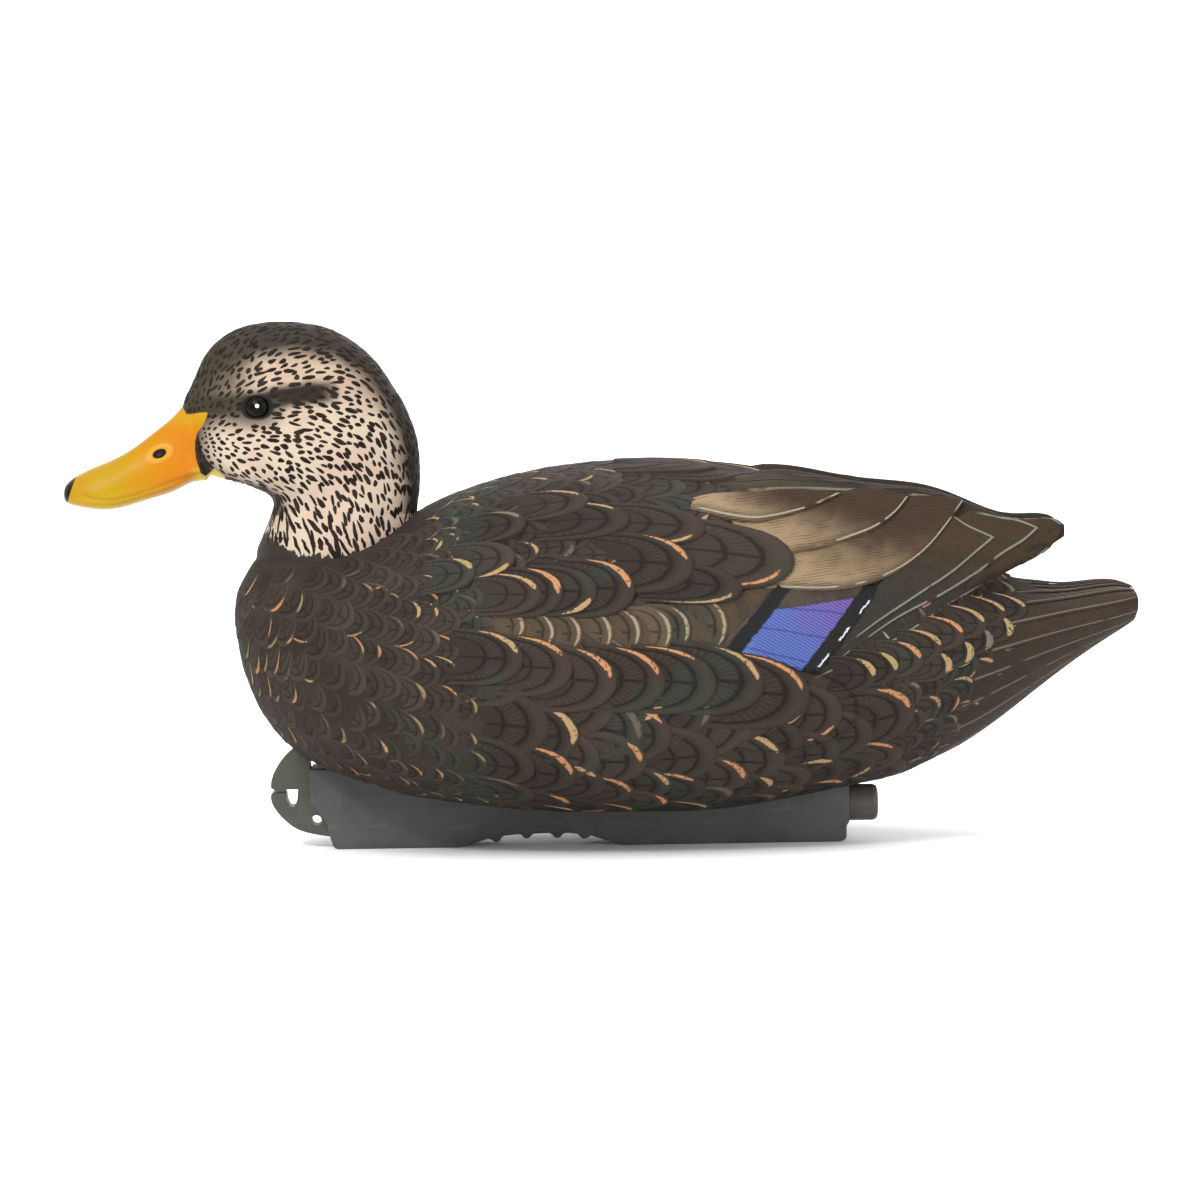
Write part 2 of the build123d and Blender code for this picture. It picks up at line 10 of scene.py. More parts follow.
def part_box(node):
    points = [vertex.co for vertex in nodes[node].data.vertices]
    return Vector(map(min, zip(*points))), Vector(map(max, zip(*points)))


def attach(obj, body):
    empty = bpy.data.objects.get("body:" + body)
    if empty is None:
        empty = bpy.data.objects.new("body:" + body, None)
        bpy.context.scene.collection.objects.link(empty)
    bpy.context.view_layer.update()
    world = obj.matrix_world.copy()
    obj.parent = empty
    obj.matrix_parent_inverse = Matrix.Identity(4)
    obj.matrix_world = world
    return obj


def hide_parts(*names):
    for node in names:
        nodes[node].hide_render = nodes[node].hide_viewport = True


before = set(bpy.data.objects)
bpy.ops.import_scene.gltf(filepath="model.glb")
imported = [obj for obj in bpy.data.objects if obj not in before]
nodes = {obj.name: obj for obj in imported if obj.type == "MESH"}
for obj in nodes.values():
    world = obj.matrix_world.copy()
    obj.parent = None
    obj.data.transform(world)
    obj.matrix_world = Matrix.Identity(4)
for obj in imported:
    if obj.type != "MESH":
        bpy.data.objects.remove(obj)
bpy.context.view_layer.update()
mm = 0.001


# ---- Camera, light and floor -----------------------------------------------------------------
# The decoy stands on a plain pale sweep, seen square from its left side and a little from above.
# A long lens keeps its lines straight; broad soft lights leave only a faint shadow under the keel.
camera_distance = 2.2
camera_height = radians(4.0)
view_width = 0.540
aim = Vector((0.0, 0.0, 0.1095))
camera_data = bpy.data.cameras.new("camera")
camera_data.sensor_width = 36.0
camera_data.lens = camera_data.sensor_width * camera_distance / view_width
camera = bpy.data.objects.new("camera", camera_data)
bpy.context.scene.collection.objects.link(camera)
away = Vector((0, -cos(camera_height), sin(camera_height)))
camera.location = aim + away * camera_distance
camera.rotation_euler = away.to_track_quat("Z", "Y").to_euler()
camera.rotation_euler.rotate_axis("Z", radians(-0.9))
bpy.context.scene.camera = camera


def soft_light(name, place, towards, size, power):
    data = bpy.data.lights.new(name, "AREA")
    data.shape = "RECTANGLE"
    data.size, data.size_y = size
    data.energy = power
    lamp = bpy.data.objects.new(name, data)
    lamp.location = place
    lamp.rotation_euler = (Vector(place) - Vector(towards)).to_track_quat("Z", "Y").to_euler()
    bpy.context.scene.collection.objects.link(lamp)


middle = (0, 0, 0.1)
soft_light("key_light", (-0.7, -1.1, 1.3), middle, (1.0, 0.8), 20)
soft_light("fill_light", (1.2, -1.2, 0.6), middle, (1.2, 1.0), 9)
soft_light("top_light", (0.1, 0.2, 1.5), middle, (1.6, 1.2), 14)
soft_light("back_light", (0.3, 1.4, 0.9), middle, (1.4, 0.8), 8)
soft_light("catch_light", (-0.75, -1.25, 1.05), middle, (0.12, 0.12), 9.0)
world = bpy.data.worlds.new("studio")
world.use_nodes = True
world.node_tree.nodes["Background"].inputs["Color"].default_value = (1, 1, 1, 1)
world.node_tree.nodes["Background"].inputs["Strength"].default_value = 1.0
bpy.context.scene.world = world
bpy.context.scene.view_settings.view_transform = "Standard"

sweep_radius = 0.6
sweep = bmesh.new()
profile = [(-3.0, 0.0), (1.2, 0.0)]
profile += [(1.2 + sweep_radius * sin(a), sweep_radius * (1 - cos(a))) for a in np.linspace(0.1, pi / 2, 14)]
profile += [(1.2 + sweep_radius, 3.0)]
rows = [[sweep.verts.new((x, y, z)) for y, z in profile] for x in (-4.0, 4.0)]
for k in range(len(profile) - 1):
    sweep.faces.new((rows[0][k], rows[1][k], rows[1][k + 1], rows[0][k + 1]))
sweep_mesh = bpy.data.meshes.new("floor")
sweep.to_mesh(sweep_mesh)
sweep_mesh.polygons.foreach_set("use_smooth", [True] * len(sweep_mesh.polygons))
floor = bpy.data.objects.new("floor", sweep_mesh)
bpy.context.scene.collection.objects.link(floor)
floor_paint = bpy.data.materials.new("pale_floor")
floor_paint.use_nodes = True
floor_paint.node_tree.nodes["Principled BSDF"].inputs["Base Color"].default_value = (0.97, 0.97, 0.97, 1)
floor_paint.node_tree.nodes["Principled BSDF"].inputs["Roughness"].default_value = 0.8
floor.data.materials.append(floor_paint)


# ---- Hull ------------------------------------------------------------------------------------
# The body is one hollow blow-moulding in dark brown polyethylene, painted matt after moulding.
# Its solid stays as it is under the feathers, which are raised in the mould and laid over it here.
paint_strength = 0.54


def ink(red, green, blue):
    """A paint colour mixed on the 0 to 255 scale, as linear light, thinned for the bright studio."""
    levels = [c / 255 for c in (red, green, blue)]
    linear = [c / 12.92 if c <= 0.04045 else ((c + 0.055) / 1.055) ** 2.4 for c in levels]
    return (*(c * paint_strength for c in linear), 1.0)


class Paint:
    """A material under construction: node calls that read like a recipe."""

    def __init__(self, name, roughness=0.6, specular=0.12):
        self.material = bpy.data.materials.new(name)
        self.material.use_nodes = True
        self.tree = self.material.node_tree
        self.shader = self.tree.nodes["Principled BSDF"]
        self.shader.inputs["Roughness"].default_value = roughness
        self.shader.inputs["Specular IOR Level"].default_value = specular

    def node(self, kind, out=0, settings=None, **wires):
        made = self.tree.nodes.new("ShaderNode" + kind)
        for key, value in (settings or {}).items():
            setattr(made, key, value)
        for key, value in wires.items():
            place = int(key[1:]) if key[0] == "i" and key[1:].isdigit() else key
            self.wire(value, made.inputs[place])
        return made.outputs[out]

    def wire(self, value, socket):
        if isinstance(value, bpy.types.NodeSocket):
            self.tree.links.new(value, socket)
        elif value is not None:
            socket.default_value = value

    def math(self, step, a, b=None, c=None):
        return self.node("Math", settings={"operation": step}, i0=a, i1=b, i2=c)

    def times(self, a, b):
        return self.math("MULTIPLY", a, b)

    def times_plus(self, a, b, c):
        return self.math("MULTIPLY_ADD", a, b, c)

    def less(self, a, b):
        return self.math("SUBTRACT", a, b)

    def rest(self, share):
        return self.less(1.0, share)

    def band(self, value, centre, inner, outer):
        """1 where value is within inner of centre, 0 past outer, smooth between."""
        return self.rest(self.ramp(self.math("ABSOLUTE", self.less(value, centre)), inner, outer))

    def attribute(self, name, out="Fac"):
        made = self.tree.nodes.new("ShaderNodeAttribute")
        made.attribute_name = name
        return made.outputs[out]

    def split(self, vector):
        made = self.tree.nodes.new("ShaderNodeSeparateXYZ")
        self.wire(vector, made.inputs[0])
        return made.outputs

    def place(self):
        return self.node("TexCoord", out="Object")

    def scaled(self, vector, scale):
        return self.node("Mapping", Vector=vector, Scale=scale)

    def noise(self, vector, scale, detail=3.0, roughness=0.55):
        return self.node("TexNoise", Vector=vector, Scale=scale, Detail=detail, Roughness=roughness)

    def ramp(self, value, low, high):
        """0 below low, 1 above high, smooth between."""
        smooth = {"interpolation_type": "SMOOTHSTEP"}
        return self.node("MapRange", settings=smooth, Value=value, i1=low, i2=high)

    def mix(self, share, first, second):
        made = self.tree.nodes.new("ShaderNodeMix")
        made.data_type = "RGBA"
        self.wire(share, made.inputs["Factor"])
        self.wire(first, made.inputs["A"])
        self.wire(second, made.inputs["B"])
        return made.outputs["Result"]

    def bump(self, height, distance, strength=1.0):
        return self.node("Bump", Height=height, Distance=distance, Strength=strength)

    def finish(self, color=None, roughness=None, normal=None):
        self.wire(color, self.shader.inputs["Base Color"])
        self.wire(roughness, self.shader.inputs["Roughness"])
        if normal is not None:
            self.wire(normal, self.shader.inputs["Normal"])
        return self.material


def hull_paint():
    paint = Paint("hull_paint", roughness=0.7, specular=0.06)
    place = paint.place()
    cloud = paint.noise(place, 38.0, 4.0)
    grain = paint.noise(place, 900.0, 2.0)
    color = paint.mix(paint.ramp(cloud, 0.35, 0.65), ink(52, 44, 39), ink(66, 57, 50))
    return paint.finish(color, normal=paint.bump(grain, 0.0002, 0.5))


hull = nodes["body_shell"]
hull.data.materials.clear()
hull.data.materials.append(hull_paint())
tail_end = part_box("body_shell")[1].x

# The hull's skin is read off its solid along rays from its middle line: from a pole on the breast,
# round the front, then straight out to the side for the rest, over the wings as far as they lie on it.
hull_tree = BVHTree.FromPolygons([v.co for v in hull.data.vertices], [p.vertices for p in hull.data.polygons])
neck = Vector((-118.2 * mm, 0, 0))
socket_rim = 38.4 * mm
keel_half = 14.2 * mm
front_turn_x = -0.095
wing_parts_x = 0.150
reach = 0.3


def middle_height(x):
    if x < -0.12:
        return 0.085 + (-0.12 - x) * 0.49
    return 0.085 + max(0.0, x - 0.12) * 0.18


def skin_point(start, direction, outermost):
    if outermost:
        return hull_tree.ray_cast(start + direction * reach, -direction, reach)[0]
    near, travelled = start, 0.0
    while True:
        spot, normal, _, gone = hull_tree.ray_cast(near, direction, reach)
        if spot is None:
            return None
        if normal.dot(direction) > 0 and travelled + gone > 0.004:
            return spot
        travelled += gone
        near = spot + direction * 1e-5


around = np.radians(np.linspace(-90, 90, 73))
caps = np.radians(np.linspace(4, 90, 30))
stations = np.linspace(front_turn_x, tail_end - 1.5 * mm, 150)[1:]
skin = []
for turn in caps:
    start = Vector((front_turn_x, 0, middle_height(-0.163) * (1 - turn / (pi / 2)) + 0.085 * turn / (pi / 2)))
    skin.append([
        (start, Vector((-cos(turn), -sin(turn) * cos(a), sin(turn) * sin(a))), True) for a in around
    ])
for x in stations:
    start = Vector((x, 0, middle_height(x)))
    skin.append([(start, Vector((0, -cos(a), sin(a))), x < wing_parts_x) for a in around])
grid = np.full((len(skin), len(around), 3), np.nan)
for i, row in enumerate(skin):
    for j, (start, direction, outermost) in enumerate(row):
        spot = skin_point(start, direction, outermost)
        if spot is None:
            continue
        in_socket = (spot - neck).xy.length < socket_rim and spot.z > 0.11
        in_channel = abs(spot.y) < keel_half and spot.z < 0.055 and -0.135 < spot.x < 0.115
        if not (in_socket or in_channel):
            grid[i, j] = spot
for j in range(grid.shape[1]):
    for k in range(3):
        line = grid[:, j, k]
        good = ~np.isnan(line)
        grid[:, j, k] = np.interp(np.arange(len(line)), np.flatnonzero(good), line[good])
for _ in range(3):
    inner = (grid[:-2] + 2 * grid[1:-1] + grid[2:]) / 4
    grid[1:-1] = inner
    inner = (grid[:, :-2] + 2 * grid[:, 1:-1] + grid[:, 2:]) / 4
    grid[:, 1:-1] = inner
grid[:, 0, 1] = 0
grid[:, -1, 1] = 0

rows_n, cols_n = grid.shape[:2]
flipped = grid[:, ::-1] * (1, -1, 1)
whole = np.concatenate([grid, flipped[:, 1:-1]], axis=1)
ring = whole.shape[1]
skin_faces = [
    (i * ring + j, i * ring + (j + 1) % ring, (i + 1) * ring + (j + 1) % ring, (i + 1) * ring + j)
    for i in range(rows_n - 1)
    for j in range(ring)
]
pole = Vector(whole[0].mean(axis=0))
skin_faces += [(j, (j + 1) % ring, rows_n * ring) for j in range(ring)]
skin_tree = BVHTree.FromPolygons([Vector(p) for p in whole.reshape(-1, 3)] + [pole], skin_faces)
to_side = np.gradient(grid, axis=1)
to_tail = np.gradient(grid, axis=0)
normals = np.cross(to_side, to_tail)
normals /= np.linalg.norm(normals, axis=2, keepdims=True) + 1e-12
if normals[rows_n // 2, cols_n // 2, 1] > 0:
    normals = -normals


# ---- Body feathers ---------------------------------------------------------------------------
# Each feather is a shallow scale raised in the mould: sunk at its root, proud at its rounded tip, with
# a groove along the rim and down the shaft. Its paint is dry-brushed: a broken stroke on part of the rim.
rings = [0.0, 0.2, 0.36, 0.46, 0.54, 0.62, 0.7, 0.76, 0.82, 0.9, 0.96, 1.0]
spokes = np.linspace(-1, 1, 15)
past_rim = 1.01  # a last ring, tucked under the rim


def relief(r):
    """The moulded lines of a feather, from its root to its rim: two grooves and a rounded edge."""
    edge = np.interp(r, [0, 0.3, 0.88, 0.94, 0.98, 1.0], [-0.5, 0.0, 0.0, 0.06, -0.04, -0.22])
    return edge - 0.17 * np.exp(-(((r - 0.77) / 0.035) ** 2)) - 0.13 * np.exp(-(((r - 0.55) / 0.04) ** 2))


def lay_on(tree, spot, normal):
    """The point of a skin under or over a spot, looking along a normal."""
    for lift in (0.012, 0.03):
        hit, found, _, _ = tree.ray_cast(spot + normal * lift, -normal, lift + 0.04)
        if hit is not None:
            return hit, found if found.dot(normal) > 0 else -found
    return spot, normal


def both_sides(name, points, faces, across, layers, material):
    """A piece laid on the body's left and its mirror image on the right, with paint marks on its points."""
    for side, sign in (("left", 1), ("right", -1)):
        mesh = bpy.data.meshes.new(f"{name}_{side}")
        turned = faces if sign > 0 else [f[::-1] for f in faces]
        mesh.from_pydata([(p.x, p.y * sign, p.z) for p in points], [], turned)
        mesh.polygons.foreach_set("use_smooth", [True] * len(faces))
        spread = mesh.uv_layers.new(name="across")
        loops = np.array([l.vertex_index for l in mesh.loops])
        spread.data.foreach_set("uv", np.array(across)[loops].astype(np.float32).ravel())
        for label, kind, field, values in layers:
            layer = mesh.attributes.new(label, kind, "POINT")
            layer.data.foreach_set(field, np.array(values, np.float32).ravel())
        mesh.materials.append(material)
        made = bpy.data.objects.new(mesh.name, mesh)
        bpy.context.scene.collection.objects.link(made)
        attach(made, "body")


class Plumage:
    """Collects feathers, then makes them one mesh with paint marks for the shader."""

    def __init__(self):
        self.points, self.faces, self.across, self.marks, self.tones, self.edges = [], [], [], [], [], []

    def add(self, root, normal, flow, long, wide, lift, tip, mark, tone, edge, raised=0.0):
        flow = (flow - normal * flow.dot(normal)).normalized()
        side = normal.cross(flow)
        first = len(self.points)
        for r in rings + [past_rim]:
            for t in spokes:
                turn = t * pi / 2
                rim = Vector((long * max(cos(turn), 0) ** tip, wide / 2 * sin(turn)))
                root_in = Vector((-0.05 * long, 0.3 * wide / 2 * t))
                at = root_in.lerp(rim, min(r, 1.0))
                spot = root + flow * at.x + side * at.y
                on, out = lay_on(skin_tree, spot, normal)
                shaft = 0.12 * np.exp(-((t / 0.1) ** 2)) * (r < 0.74)
                slope = 0.12 + 0.72 * max(0.0, at.x / long) + 0.1 * t
                height = (slope + relief(r) - shaft) * lift + raised * min(1.0, r / 0.3)
                if r > 1.0:
                    height = -0.9 * lift
                self.points.append(on + out * height)
                self.across.append((t * 0.5 + 0.5, min(r, 1.0)))
        count = len(spokes)
        for a in range(len(rings)):
            for b in range(count - 1):
                k = first + a * count + b
                self.faces.append((k, k + 1, k + count + 1, k + count))
        made = len(self.points) - first
        self.marks += [mark] * made
        self.tones += [tone] * made
        self.edges += [edge] * made

    def both_sides(self, name, material):
        layers = [
            ("mark", "FLOAT_VECTOR", "vector", self.marks),
            ("tone", "FLOAT_COLOR", "color", self.tones), ("edge", "FLOAT_COLOR", "color", self.edges),
        ]
        both_sides(name, self.points, self.faces, self.across, layers, material)


def feather_paint():
    paint = Paint("feather_paint", roughness=0.7, specular=0.06)
    place = paint.place()
    t, r, _ = paint.split(paint.node("UVMap", settings={"uv_map": "across"}))
    t = paint.times_plus(t, 2.0, -1.0)
    centre, half, width = paint.split(paint.attribute("mark", "Vector"))
    wobble = paint.noise(place, 260.0, 2.0)
    fine = paint.noise(place, 1400.0, 2.0)
    cloud = paint.noise(place, 26.0, 3.0)
    tone = paint.attribute("tone", "Color")
    green = paint.mix(0.8, tone, ink(56, 66, 58))
    base = paint.mix(paint.times(paint.ramp(cloud, 0.53, 0.62), 0.8), tone, green)
    base = paint.mix(paint.times(fine, 0.4), base, ink(36, 31, 28))
    # barbs: fine hatching that runs out from the shaft, strongest between the two grooves
    slant = paint.times_plus(paint.math("ABSOLUTE", t), 20.0, paint.times(r, -9.0))
    barbs = paint.math("SINE", paint.times_plus(wobble, 4.0, paint.times(slant, 3.4)))
    rim_wobble = paint.times_plus(wobble, 0.05, paint.less(r, 0.025))
    inner = paint.band(rim_wobble, 0.655, 0.06, 0.1)
    hatch = paint.times(paint.ramp(barbs, 0.0, 0.8), inner)
    base = paint.mix(paint.times(hatch, 0.15), base, ink(104, 92, 82))
    # the grooves inside the rim and round the middle, and the shaft's
    outer_groove = paint.band(rim_wobble, 0.77, 0.01, 0.04)
    inner_groove = paint.band(rim_wobble, 0.5, 0.01, 0.035)
    shaft = paint.rest(paint.ramp(paint.math("ABSOLUTE", t), 0.02, 0.06))
    shaft = paint.times(shaft, paint.math("LESS_THAN", r, 0.74))
    dark = paint.math("MAXIMUM", paint.math("MAXIMUM", outer_groove, inner_groove), shaft)
    base = paint.mix(paint.times(dark, 0.62), base, ink(24, 20, 18))
    base = paint.mix(paint.times(paint.ramp(r, 0.8, 0.9), 0.12), base, ink(112, 98, 84))
    # the brushed stroke: widest in its middle, frayed at its ends
    along = paint.math("DIVIDE", paint.less(t, centre), half)
    taper = paint.rest(paint.times(along, along))
    taper = paint.math("SQRT", paint.math("MAXIMUM", taper, 0.0))
    off = paint.math("ABSOLUTE", paint.less(rim_wobble, 0.925))
    band = paint.less(paint.times(taper, width), off)
    stroke = paint.ramp(band, 0.0, 0.02)
    broken = paint.ramp(paint.noise(place, 700.0, 2.0), 0.32, 0.44)
    stroke = paint.times(paint.times(stroke, broken), paint.attribute("edge", "Alpha"))
    color = paint.mix(stroke, base, paint.attribute("edge", "Color"))
    height = paint.times_plus(paint.times(barbs, inner), 0.28, fine)
    return paint.finish(color, normal=paint.bump(height, 0.0003, 0.7))


feather_material = feather_paint()
chance = np.random.default_rng(7)
tan_stroke, salmon_stroke = ink(188, 154, 112), ink(204, 146, 102)
grey_stroke, straw_stroke = ink(128, 116, 102), ink(178, 158, 108)
dark_tones = [ink(60, 51, 45), ink(66, 56, 50), ink(71, 61, 54), ink(57, 50, 45)]


def skin_at(i, j):
    """Skin point and normal at fractional row i and column j of the skin's grid."""
    i = min(max(i, 0.0), rows_n - 1.001)
    j = min(max(j, 0.0), cols_n - 1.001)
    a, b = int(i), int(j)
    u, v = i - a, j - b
    blend = [
        ((1 - u) * (1 - v), a, b), (u * (1 - v), a + 1, b),
        ((1 - u) * v, a, b + 1), (u * v, a + 1, b + 1),
    ]
    spot = sum(w * grid[p, q] for w, p, q in blend)
    out = sum(w * normals[p, q] for w, p, q in blend)
    return Vector(spot), Vector(out).normalized()


row_arc = np.concatenate([[0], np.cumsum(np.linalg.norm(np.diff(grid[:, cols_n // 2 - 4], axis=0), axis=1))])


def same_size(x):
    return 1.0


def seeds(long_step, wide_step, inside, grow=same_size, jitter=0.2):
    """Staggered rows of feather roots over the skin, from breast to tail, kept where inside(spot) holds."""
    found = []
    arc, k = long_step, 0
    while arc < row_arc[-1]:
        i = float(np.interp(arc, row_arc, np.arange(rows_n)))
        section = grid[int(i)]
        size = grow(section[cols_n // 2, 0])
        run = np.concatenate([[0], np.cumsum(np.linalg.norm(np.diff(section, axis=0), axis=1))])
        first = wide_step * size * (0.5 if k % 2 else 0.0)
        offsets = np.arange(first, run[-1] + wide_step / 2, wide_step * size)
        for s in run[-1] - offsets:
            i_shift = i + chance.normal(0, jitter)
            s_shift = s + chance.normal(0, jitter * wide_step * size / 2)
            if s_shift < 0:
                continue
            spot, out = skin_at(i_shift, float(np.interp(s_shift, run, np.arange(cols_n))))
            if inside(spot):
                found.append((spot, out))
        arc, k = arc + long_step * size, k + 1
    return found


def body_flow(spot):
    """The way feathers lie: down and back over the breast, straight back along the sides."""
    front = max(0.0, min(1.0, (-0.095 - spot.x) / 0.06))
    drop = -0.12 - 1.3 * front
    return Vector((1.0 - 0.55 * front, 0.0, drop))


def stroke_mark(kinds, spread):
    """Where a feather's stroke sits on its rim, how long and wide it is, its colour and its strength."""
    color, strength = kinds[chance.integers(len(kinds))]
    upper = chance.random() < 0.75
    centre = chance.uniform(0.1, spread) if upper else chance.uniform(-spread, -0.1)
    return (centre, chance.uniform(0.2, 0.42), chance.uniform(0.045, 0.07)), (*color[:3], strength)


def scatter(plumage, places, long, wide, lift, tip, kinds, flow=body_flow, spread=0.65, grow=same_size):
    for spot, out in places:
        size = chance.uniform(0.88, 1.12) * grow(spot.x)
        mark, edge = stroke_mark(kinds, spread)
        tone = dark_tones[chance.integers(len(dark_tones))]
        lean = Matrix.Rotation(chance.normal(0, 0.12), 3, out)
        plumage.add(spot, out, lean @ flow(spot), long * size, wide * size, lift, tip, mark, tone, edge)


def clear_of_neck(spot, margin=0.0):
    return (spot - neck).xy.length > socket_rim + margin or spot.z < 0.1


def on_breast(spot):
    return spot.x < -0.062 + 0.12 * max(0.0, 0.07 - spot.z) and clear_of_neck(spot, 0.001)


breast = Plumage()
breast_strokes = [
    (tan_stroke, 0.9), (salmon_stroke, 0.75), (straw_stroke, 0.55),
    (grey_stroke, 0.35), (grey_stroke, 0.0), (grey_stroke, 0.0), (tan_stroke, 0.0),
]
scatter(breast, seeds(8.5 * mm, 12.5 * mm, on_breast), 15 * mm, 15.5 * mm, 0.8 * mm, 0.85, breast_strokes)
breast.both_sides("breast_feathers", feather_material)


def pocket_top(x):
    return np.interp(x, [-0.075, -0.03, 0.02, 0.07, 0.1, 0.122], [0.096, 0.094, 0.086, 0.080, 0.066, 0.045])


def on_side_pocket(spot):
    return -0.068 < spot.x < 0.112 and 0.020 < spot.z < pocket_top(spot.x) and abs(spot.y) > 0.03


pocket = Plumage()
pocket_strokes = [
    (tan_stroke, 0.95), (salmon_stroke, 0.95), (salmon_stroke, 0.9), (grey_stroke, 0.5), (grey_stroke, 0.0),
]
scatter(pocket, seeds(15 * mm, 22 * mm, on_side_pocket), 34 * mm, 30 * mm, 1.7 * mm, 0.72, pocket_strokes)


def over_side(x, z):
    """The skin's left side at a place seen square from that side."""
    hit, out, _, _ = skin_tree.ray_cast(Vector((x, -reach, z)), Vector((0, 1, 0)), reach)
    if hit is None:
        hit, out, _, _ = skin_tree.find_nearest(Vector((x, -0.03, z)))
    return hit, out if out.y < 0 or out.z > 0 else -out


stroke_width = 1.9


def set_out(plumage, lobes, drop, lift, tip, raised=0.0):
    """Feathers placed one by one: tip x and z, length, width, stroke's middle and half length, its colour."""
    for x, z, long, wide, centre, half, color in lobes:
        spot, out = over_side((x - long) * mm, (z + drop * long) * mm)
        tone = dark_tones[chance.integers(len(dark_tones))]
        flow = Vector((1, 0, -drop))
        mark, edge = (centre, half, stroke_width / long), (*color[:3], 0.95)
        plumage.add(spot, out, flow, long * mm, wide * mm, lift, tip, mark, tone, edge, raised)


set_out(pocket, [
    (-33, 89, 32, 25, 0.5, 0.35, tan_stroke), (-12, 85, 34, 27, 0.6, 0.3, salmon_stroke),
    (7, 79.5, 36, 30, 0.42, 0.34, salmon_stroke), (28, 79, 36, 30, 0.5, 0.34, salmon_stroke),
    (50, 78, 38, 30, 0.72, 0.22, salmon_stroke), (71, 78, 42, 32, 0.42, 0.36, tan_stroke),
    (91, 72, 46, 34, 0.5, 0.4, salmon_stroke), (113, 63, 54, 38, 0.55, 0.32, salmon_stroke),
], 0.1, 2.1 * mm, 0.66, 0.9 * mm)
pocket.both_sides("side_feathers", feather_material)


# ---- Under the body, and the rump --------------------------------------------------------------
# The belly, the undertail and the rump carry the same moulded scales, smaller and flatter, with thin
# pale arcs. Behind the wing they are painted with pairs of short tan strokes.
def rear_flow(spot):
    return Vector((1.0, 0.0, 0.28 if spot.z < 0.085 else -0.12))


def on_belly(spot):
    return -0.2 < spot.x < 0.118 and (spot.z <= 0.022 or abs(spot.y) <= 0.03) and spot.z < 0.06


def on_undertail(spot):
    return 0.098 < spot.x < 0.168 and spot.z < 0.100 and not on_side_pocket(spot)


def on_rump(spot):
    return 0.118 < spot.x < 0.172 and 0.096 <= spot.z < 0.135


belly = Plumage()
belly_strokes = [(grey_stroke, 0.3), (grey_stroke, 0.0)]
scatter(belly, seeds(13 * mm, 18 * mm, on_belly), 22 * mm, 22 * mm, 0.7 * mm, 0.8, belly_strokes)
belly.both_sides("belly_feathers", feather_material)
rump = Plumage()
rear_strokes = [
    (grey_stroke, 0.75), (straw_stroke, 0.6), (tan_stroke, 0.8), (grey_stroke, 0.3), (salmon_stroke, 0.7),
]
places = seeds(9 * mm, 13 * mm, on_undertail)
scatter(rump, places, 17 * mm, 17 * mm, 0.8 * mm, 0.8, rear_strokes, flow=rear_flow)
places = seeds(11 * mm, 16 * mm, on_rump)
scatter(rump, places, 21 * mm, 19 * mm, 0.9 * mm, 0.8, rear_strokes, flow=rear_flow)
set_out(rump, [
    (189.5, 107.5, 20, 15, 0.5, 0.42, tan_stroke), (180.5, 106.0, 21, 15, 0.5, 0.42, tan_stroke),
    (171.5, 101.5, 22, 16, 0.5, 0.42, tan_stroke), (161.5, 97.0, 22, 16, 0.5, 0.42, salmon_stroke),
    (151.5, 91.5, 22, 16, 0.5, 0.4, tan_stroke), (183.0, 98.5, 18, 14, 0.1, 0.4, straw_stroke),
    (174.0, 93.5, 19, 15, 0.0, 0.4, grey_stroke), (165.5, 88.5, 20, 15, 0.0, 0.42, straw_stroke),
    (155.5, 83.0, 20, 15, 0.1, 0.4, tan_stroke), (142.0, 86.5, 22, 17, 0.4, 0.36, salmon_stroke),
    (131.0, 83.0, 22, 17, 0.3, 0.36, straw_stroke), (121.0, 80.5, 22, 17, 0.3, 0.36, tan_stroke),
], 0.0, 1.3 * mm, 0.7, 0.7 * mm)
rump.both_sides("rump_feathers", feather_material)


# ---- Back and scapulars ------------------------------------------------------------------------
# The shoulder feathers lie over the folded wing in long U shapes that grow towards the tail; the last
# ones, each as long as a thumb, are set out one by one. The back between them is finer and greener.
def back_low(x):
    """The lower edge of the shoulder feathers along the side."""
    edge_x = [-0.075, -0.04, -0.012, 0.042, 0.060, 0.084]
    return np.interp(x, edge_x, [0.112, 0.108, 0.106, 0.110, 0.124, 0.150])


def grow_back(x):
    return float(np.interp(x, [-0.09, -0.03, 0.06], [0.62, 0.95, 1.4]))


def on_back(spot):
    return -0.085 < spot.x < 0.072 and spot.z > back_low(spot.x) and clear_of_neck(spot, 0.002)


def back_flow(spot):
    return Vector((1.0, 0.0, -0.10))


